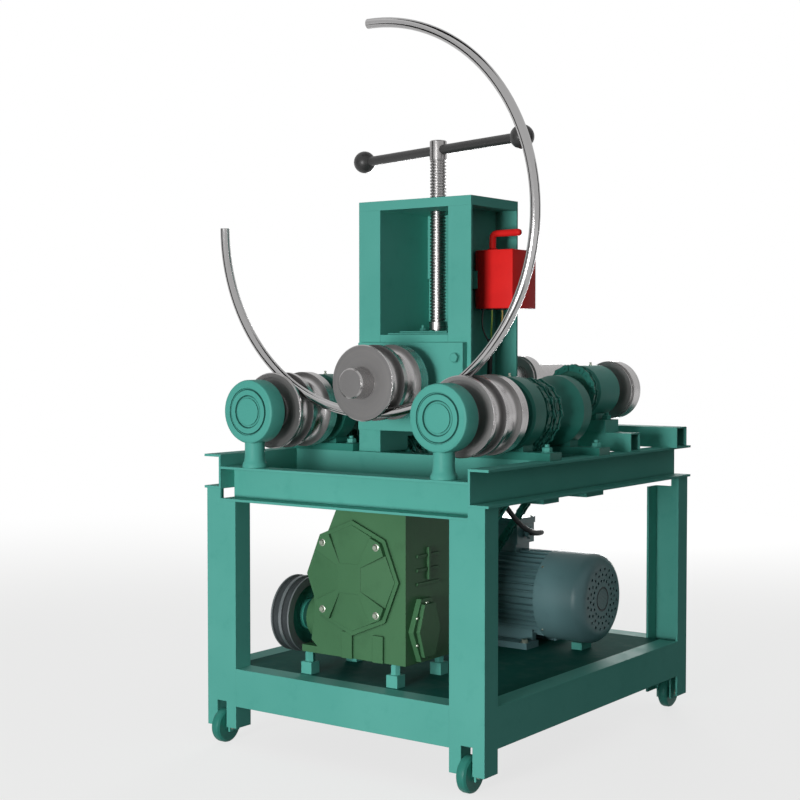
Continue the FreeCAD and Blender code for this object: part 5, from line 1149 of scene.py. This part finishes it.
# ---- wiring: three cores from the switch, then the sheathed lead down the post to the motor
wiringLook = {
    "radius": 5.5, "coreRadius": 1.8,
    "lead": (
        (114.9, -44, 846), (110.9, -42, 800), (106.9, -39, 744), (107.4, -38, 686), (106.9, -38.5, 628),
        (109.9, -36, 574), (118.9, -24, 526), (131.9, 2, 484), (137.9, 40, 450), (136.9, 80, 432),
        (130.9, 118, 423), (120, 169, 420), (96, 189, 412), (76, 189, 412),
    ),
    "cores": {
        "coreDark": ((110.9, -68, 919.7), (108.9, -70, 897.7), (105.9, -62, 873.7), (112.5, -47, 850), (112.9, -45.6, 840)),
        "coreEarth": ((130.9, -64, 919.7), (131.9, -65, 899.7), (124.9, -58, 875.7), (117.3, -46, 850), (116.9, -45.6, 840)),
        "coreLive": ((148.9, -52, 919.7), (149.9, -51, 899.7), (136.9, -44, 873.7), (115.9, -41.2, 850), (114.9, -41.2, 840)),
    },
    "boot": ((836, 6.4), (838, 7.0), (846, 7.0), (852, 6.0), (856, 5.0)),
    "clips": (744, 628),
}


def cordCurve(name, points, radius, finish):
    # A smooth line through the lead's own route, as a NURBS tube.
    data = bpy.data.curves.new(name, "CURVE")
    data.dimensions = "3D"
    line = data.splines.new("NURBS")
    line.points.add(len(points) - 1)
    for point, spot in zip(line.points, points):
        point.co = (*mmPoint(*spot), 1.0)
    line.order_u = 3
    line.use_endpoint_u = True
    line.resolution_u = 8
    data.bevel_depth = radius * mm
    data.bevel_resolution = 5
    data.use_fill_caps = True
    made = newObject(name, data)
    data.materials.append(finishes[finish])
    return made


def curveLength(thing):
    bare = thing.data.copy()
    bare.bevel_depth = 0
    probe = newObject("probe", bare)
    bpy.context.view_layer.update()
    line = bpy.data.meshes.new_from_object(probe.evaluated_get(bpy.context.evaluated_depsgraph_get()))
    spots = [v.co.copy() for v in line.vertices]
    bpy.data.objects.remove(probe)
    return sum((b - a).length for a, b in zip(spots, spots[1:]))


def wiring(look):
    boot = bmesh.new()
    x, y, z = look["lead"][0]
    outline = [(height * mm, radius * mm) for height, radius in look["boot"]]
    outline = [(outline[0][0], 0)] + outline + [(outline[-1][0], 0)]
    latheShape(boot, outline, (x * mm, y * mm, 0), (0, 0, 1), 28)
    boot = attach(finishMesh(boot, "leadBoot", "glandPlastic"), "frame")
    lead = cordCurve("switchLead", look["lead"], look["radius"], "leadSheath")
    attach(lead, "frame")
    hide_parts("wiring")
    tuple(mmPoint(*look["lead"][0]))
    curveLength(lead)
    for name, points in look["cores"].items():
        core = cordCurve(name, points, look["coreRadius"], name)
        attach(core, "frame")
        tuple(mmPoint(*points[0]))
        curveLength(core)
    # saddles that hold the lead to the post
    mesh = bmesh.new()
    for height in look["clips"]:
        latheShape(mesh, [(-5 * mm, 5.6 * mm), (-5 * mm, 6.8 * mm), (5 * mm, 6.8 * mm), (5 * mm, 5.6 * mm), (-5 * mm, 5.6 * mm)],
                   (106.9 * mm, -38.6 * mm, height * mm), (0, 0, 1), 24)
        roundedBlock(mesh, (93.4 * mm, -52 * mm, (height - 5) * mm), (94.9 * mm, -26 * mm, (height + 5) * mm), 0.4 * mm)
        roundedBlock(mesh, (93.8 * mm, -39.4 * mm, (height - 5) * mm), (101.6 * mm, -37.8 * mm, (height + 5) * mm), 0.4 * mm)
    clips = finishMesh(mesh, "leadClips", "zincPlate")
    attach(clips, "frame")


wiring(wiringLook)
print("wiring laid")


# ---- floor, world, lamps and camera
def studioSet(look):
    board = startFinish("studioFloor")
    ray = board.node("ShaderNodeLightPath", out="Is Camera Ray")
    seen = (ray + ray.other("Is Glossy Ray") + ray.other("Is Transmission Ray")).held()
    x, y, _ = board.parts(board.node("ShaderNodeTexCoord", out="Object"))
    far = ((x * x + y * y) ** 0.5).ramp(*look["floorFade"])
    dull = board.node("ShaderNodeBsdfDiffuse", {}, {"Color": linearColour(look["floorBounce"])})
    matt = board.node("ShaderNodeBsdfDiffuse", {}, {"Color": linearColour(look["floorColour"])})
    glow = board.node("ShaderNodeEmission", {}, {"Color": (1, 1, 1, 1), "Strength": 1.0})
    pale = board.node("ShaderNodeMixShader", {}, {0: look["floorGlow"] + far * (1 - look["floorGlow"]), 1: matt, 2: glow})
    mixed = board.node("ShaderNodeMixShader", {}, {0: seen, 1: dull, 2: pale})
    board.node("ShaderNodeOutputMaterial", {}, {"Surface": mixed})
    mesh = bmesh.new()
    bmesh.ops.create_grid(mesh, x_segments=1, y_segments=1, size=look["floorSize"] / 2)
    floor = finishMesh(mesh, "studioFloorSheet", "studioFloor")
    world = bpy.data.worlds.new("studioWorld")
    bpy.context.scene.world = world
    world.use_nodes = True
    board = Board(world.node_tree)
    rays = board.node("ShaderNodeLightPath", out="Is Camera Ray")
    clear = (rays + rays.other("Is Transmission Ray")).held() * (1 - look["ambient"])
    strength = clear + rays.other("Is Glossy Ray") * (look["shine"] - look["ambient"]) + look["ambient"]
    back_ = board.node("ShaderNodeBackground", {}, {"Color": (1, 1, 1, 1), "Strength": strength})
    board.node("ShaderNodeOutputWorld", {}, {"Surface": back_})
    for name, place, aim, width, power in look["lamps"]:
        lamp = bpy.data.lights.new(name, "AREA")
        lamp.size = width
        lamp.energy = power
        made = newObject(name, lamp)
        made.visible_camera = False
        aimAt(made, place, aim)
    board = startFinish("darkCloth")
    board.node("ShaderNodeOutputMaterial", {}, {
        "Surface": board.node("ShaderNodeBsdfDiffuse", {}, {"Color": (0.012, 0.012, 0.013, 1)})})
    for n, (place, aim, wide, high) in enumerate(look["cloths"]):
        mesh = bmesh.new()
        bmesh.ops.create_grid(mesh, x_segments=1, y_segments=1, size=0.5)
        bmesh.ops.scale(mesh, vec=(wide, high, 1), verts=mesh.verts)
        cloth = finishMesh(mesh, f"studioCloth{n}", "darkCloth")
        aimAt(cloth, place, aim)
        cloth.visible_camera = cloth.visible_diffuse = cloth.visible_shadow = False


studioSet(studio)
camera = newObject("camera", bpy.data.cameras.new("camera"))
camera.location = cameraSpot["place"]
camera.rotation_euler = [math.radians(a) for a in (cameraSpot["tilt"], 0, cameraSpot["turn"])]
camera.data.lens, camera.data.sensor_width = cameraSpot["lens"], cameraSpot["sensor"]
bpy.context.scene.camera = camera
bpy.context.scene.view_settings.view_transform = "Standard"
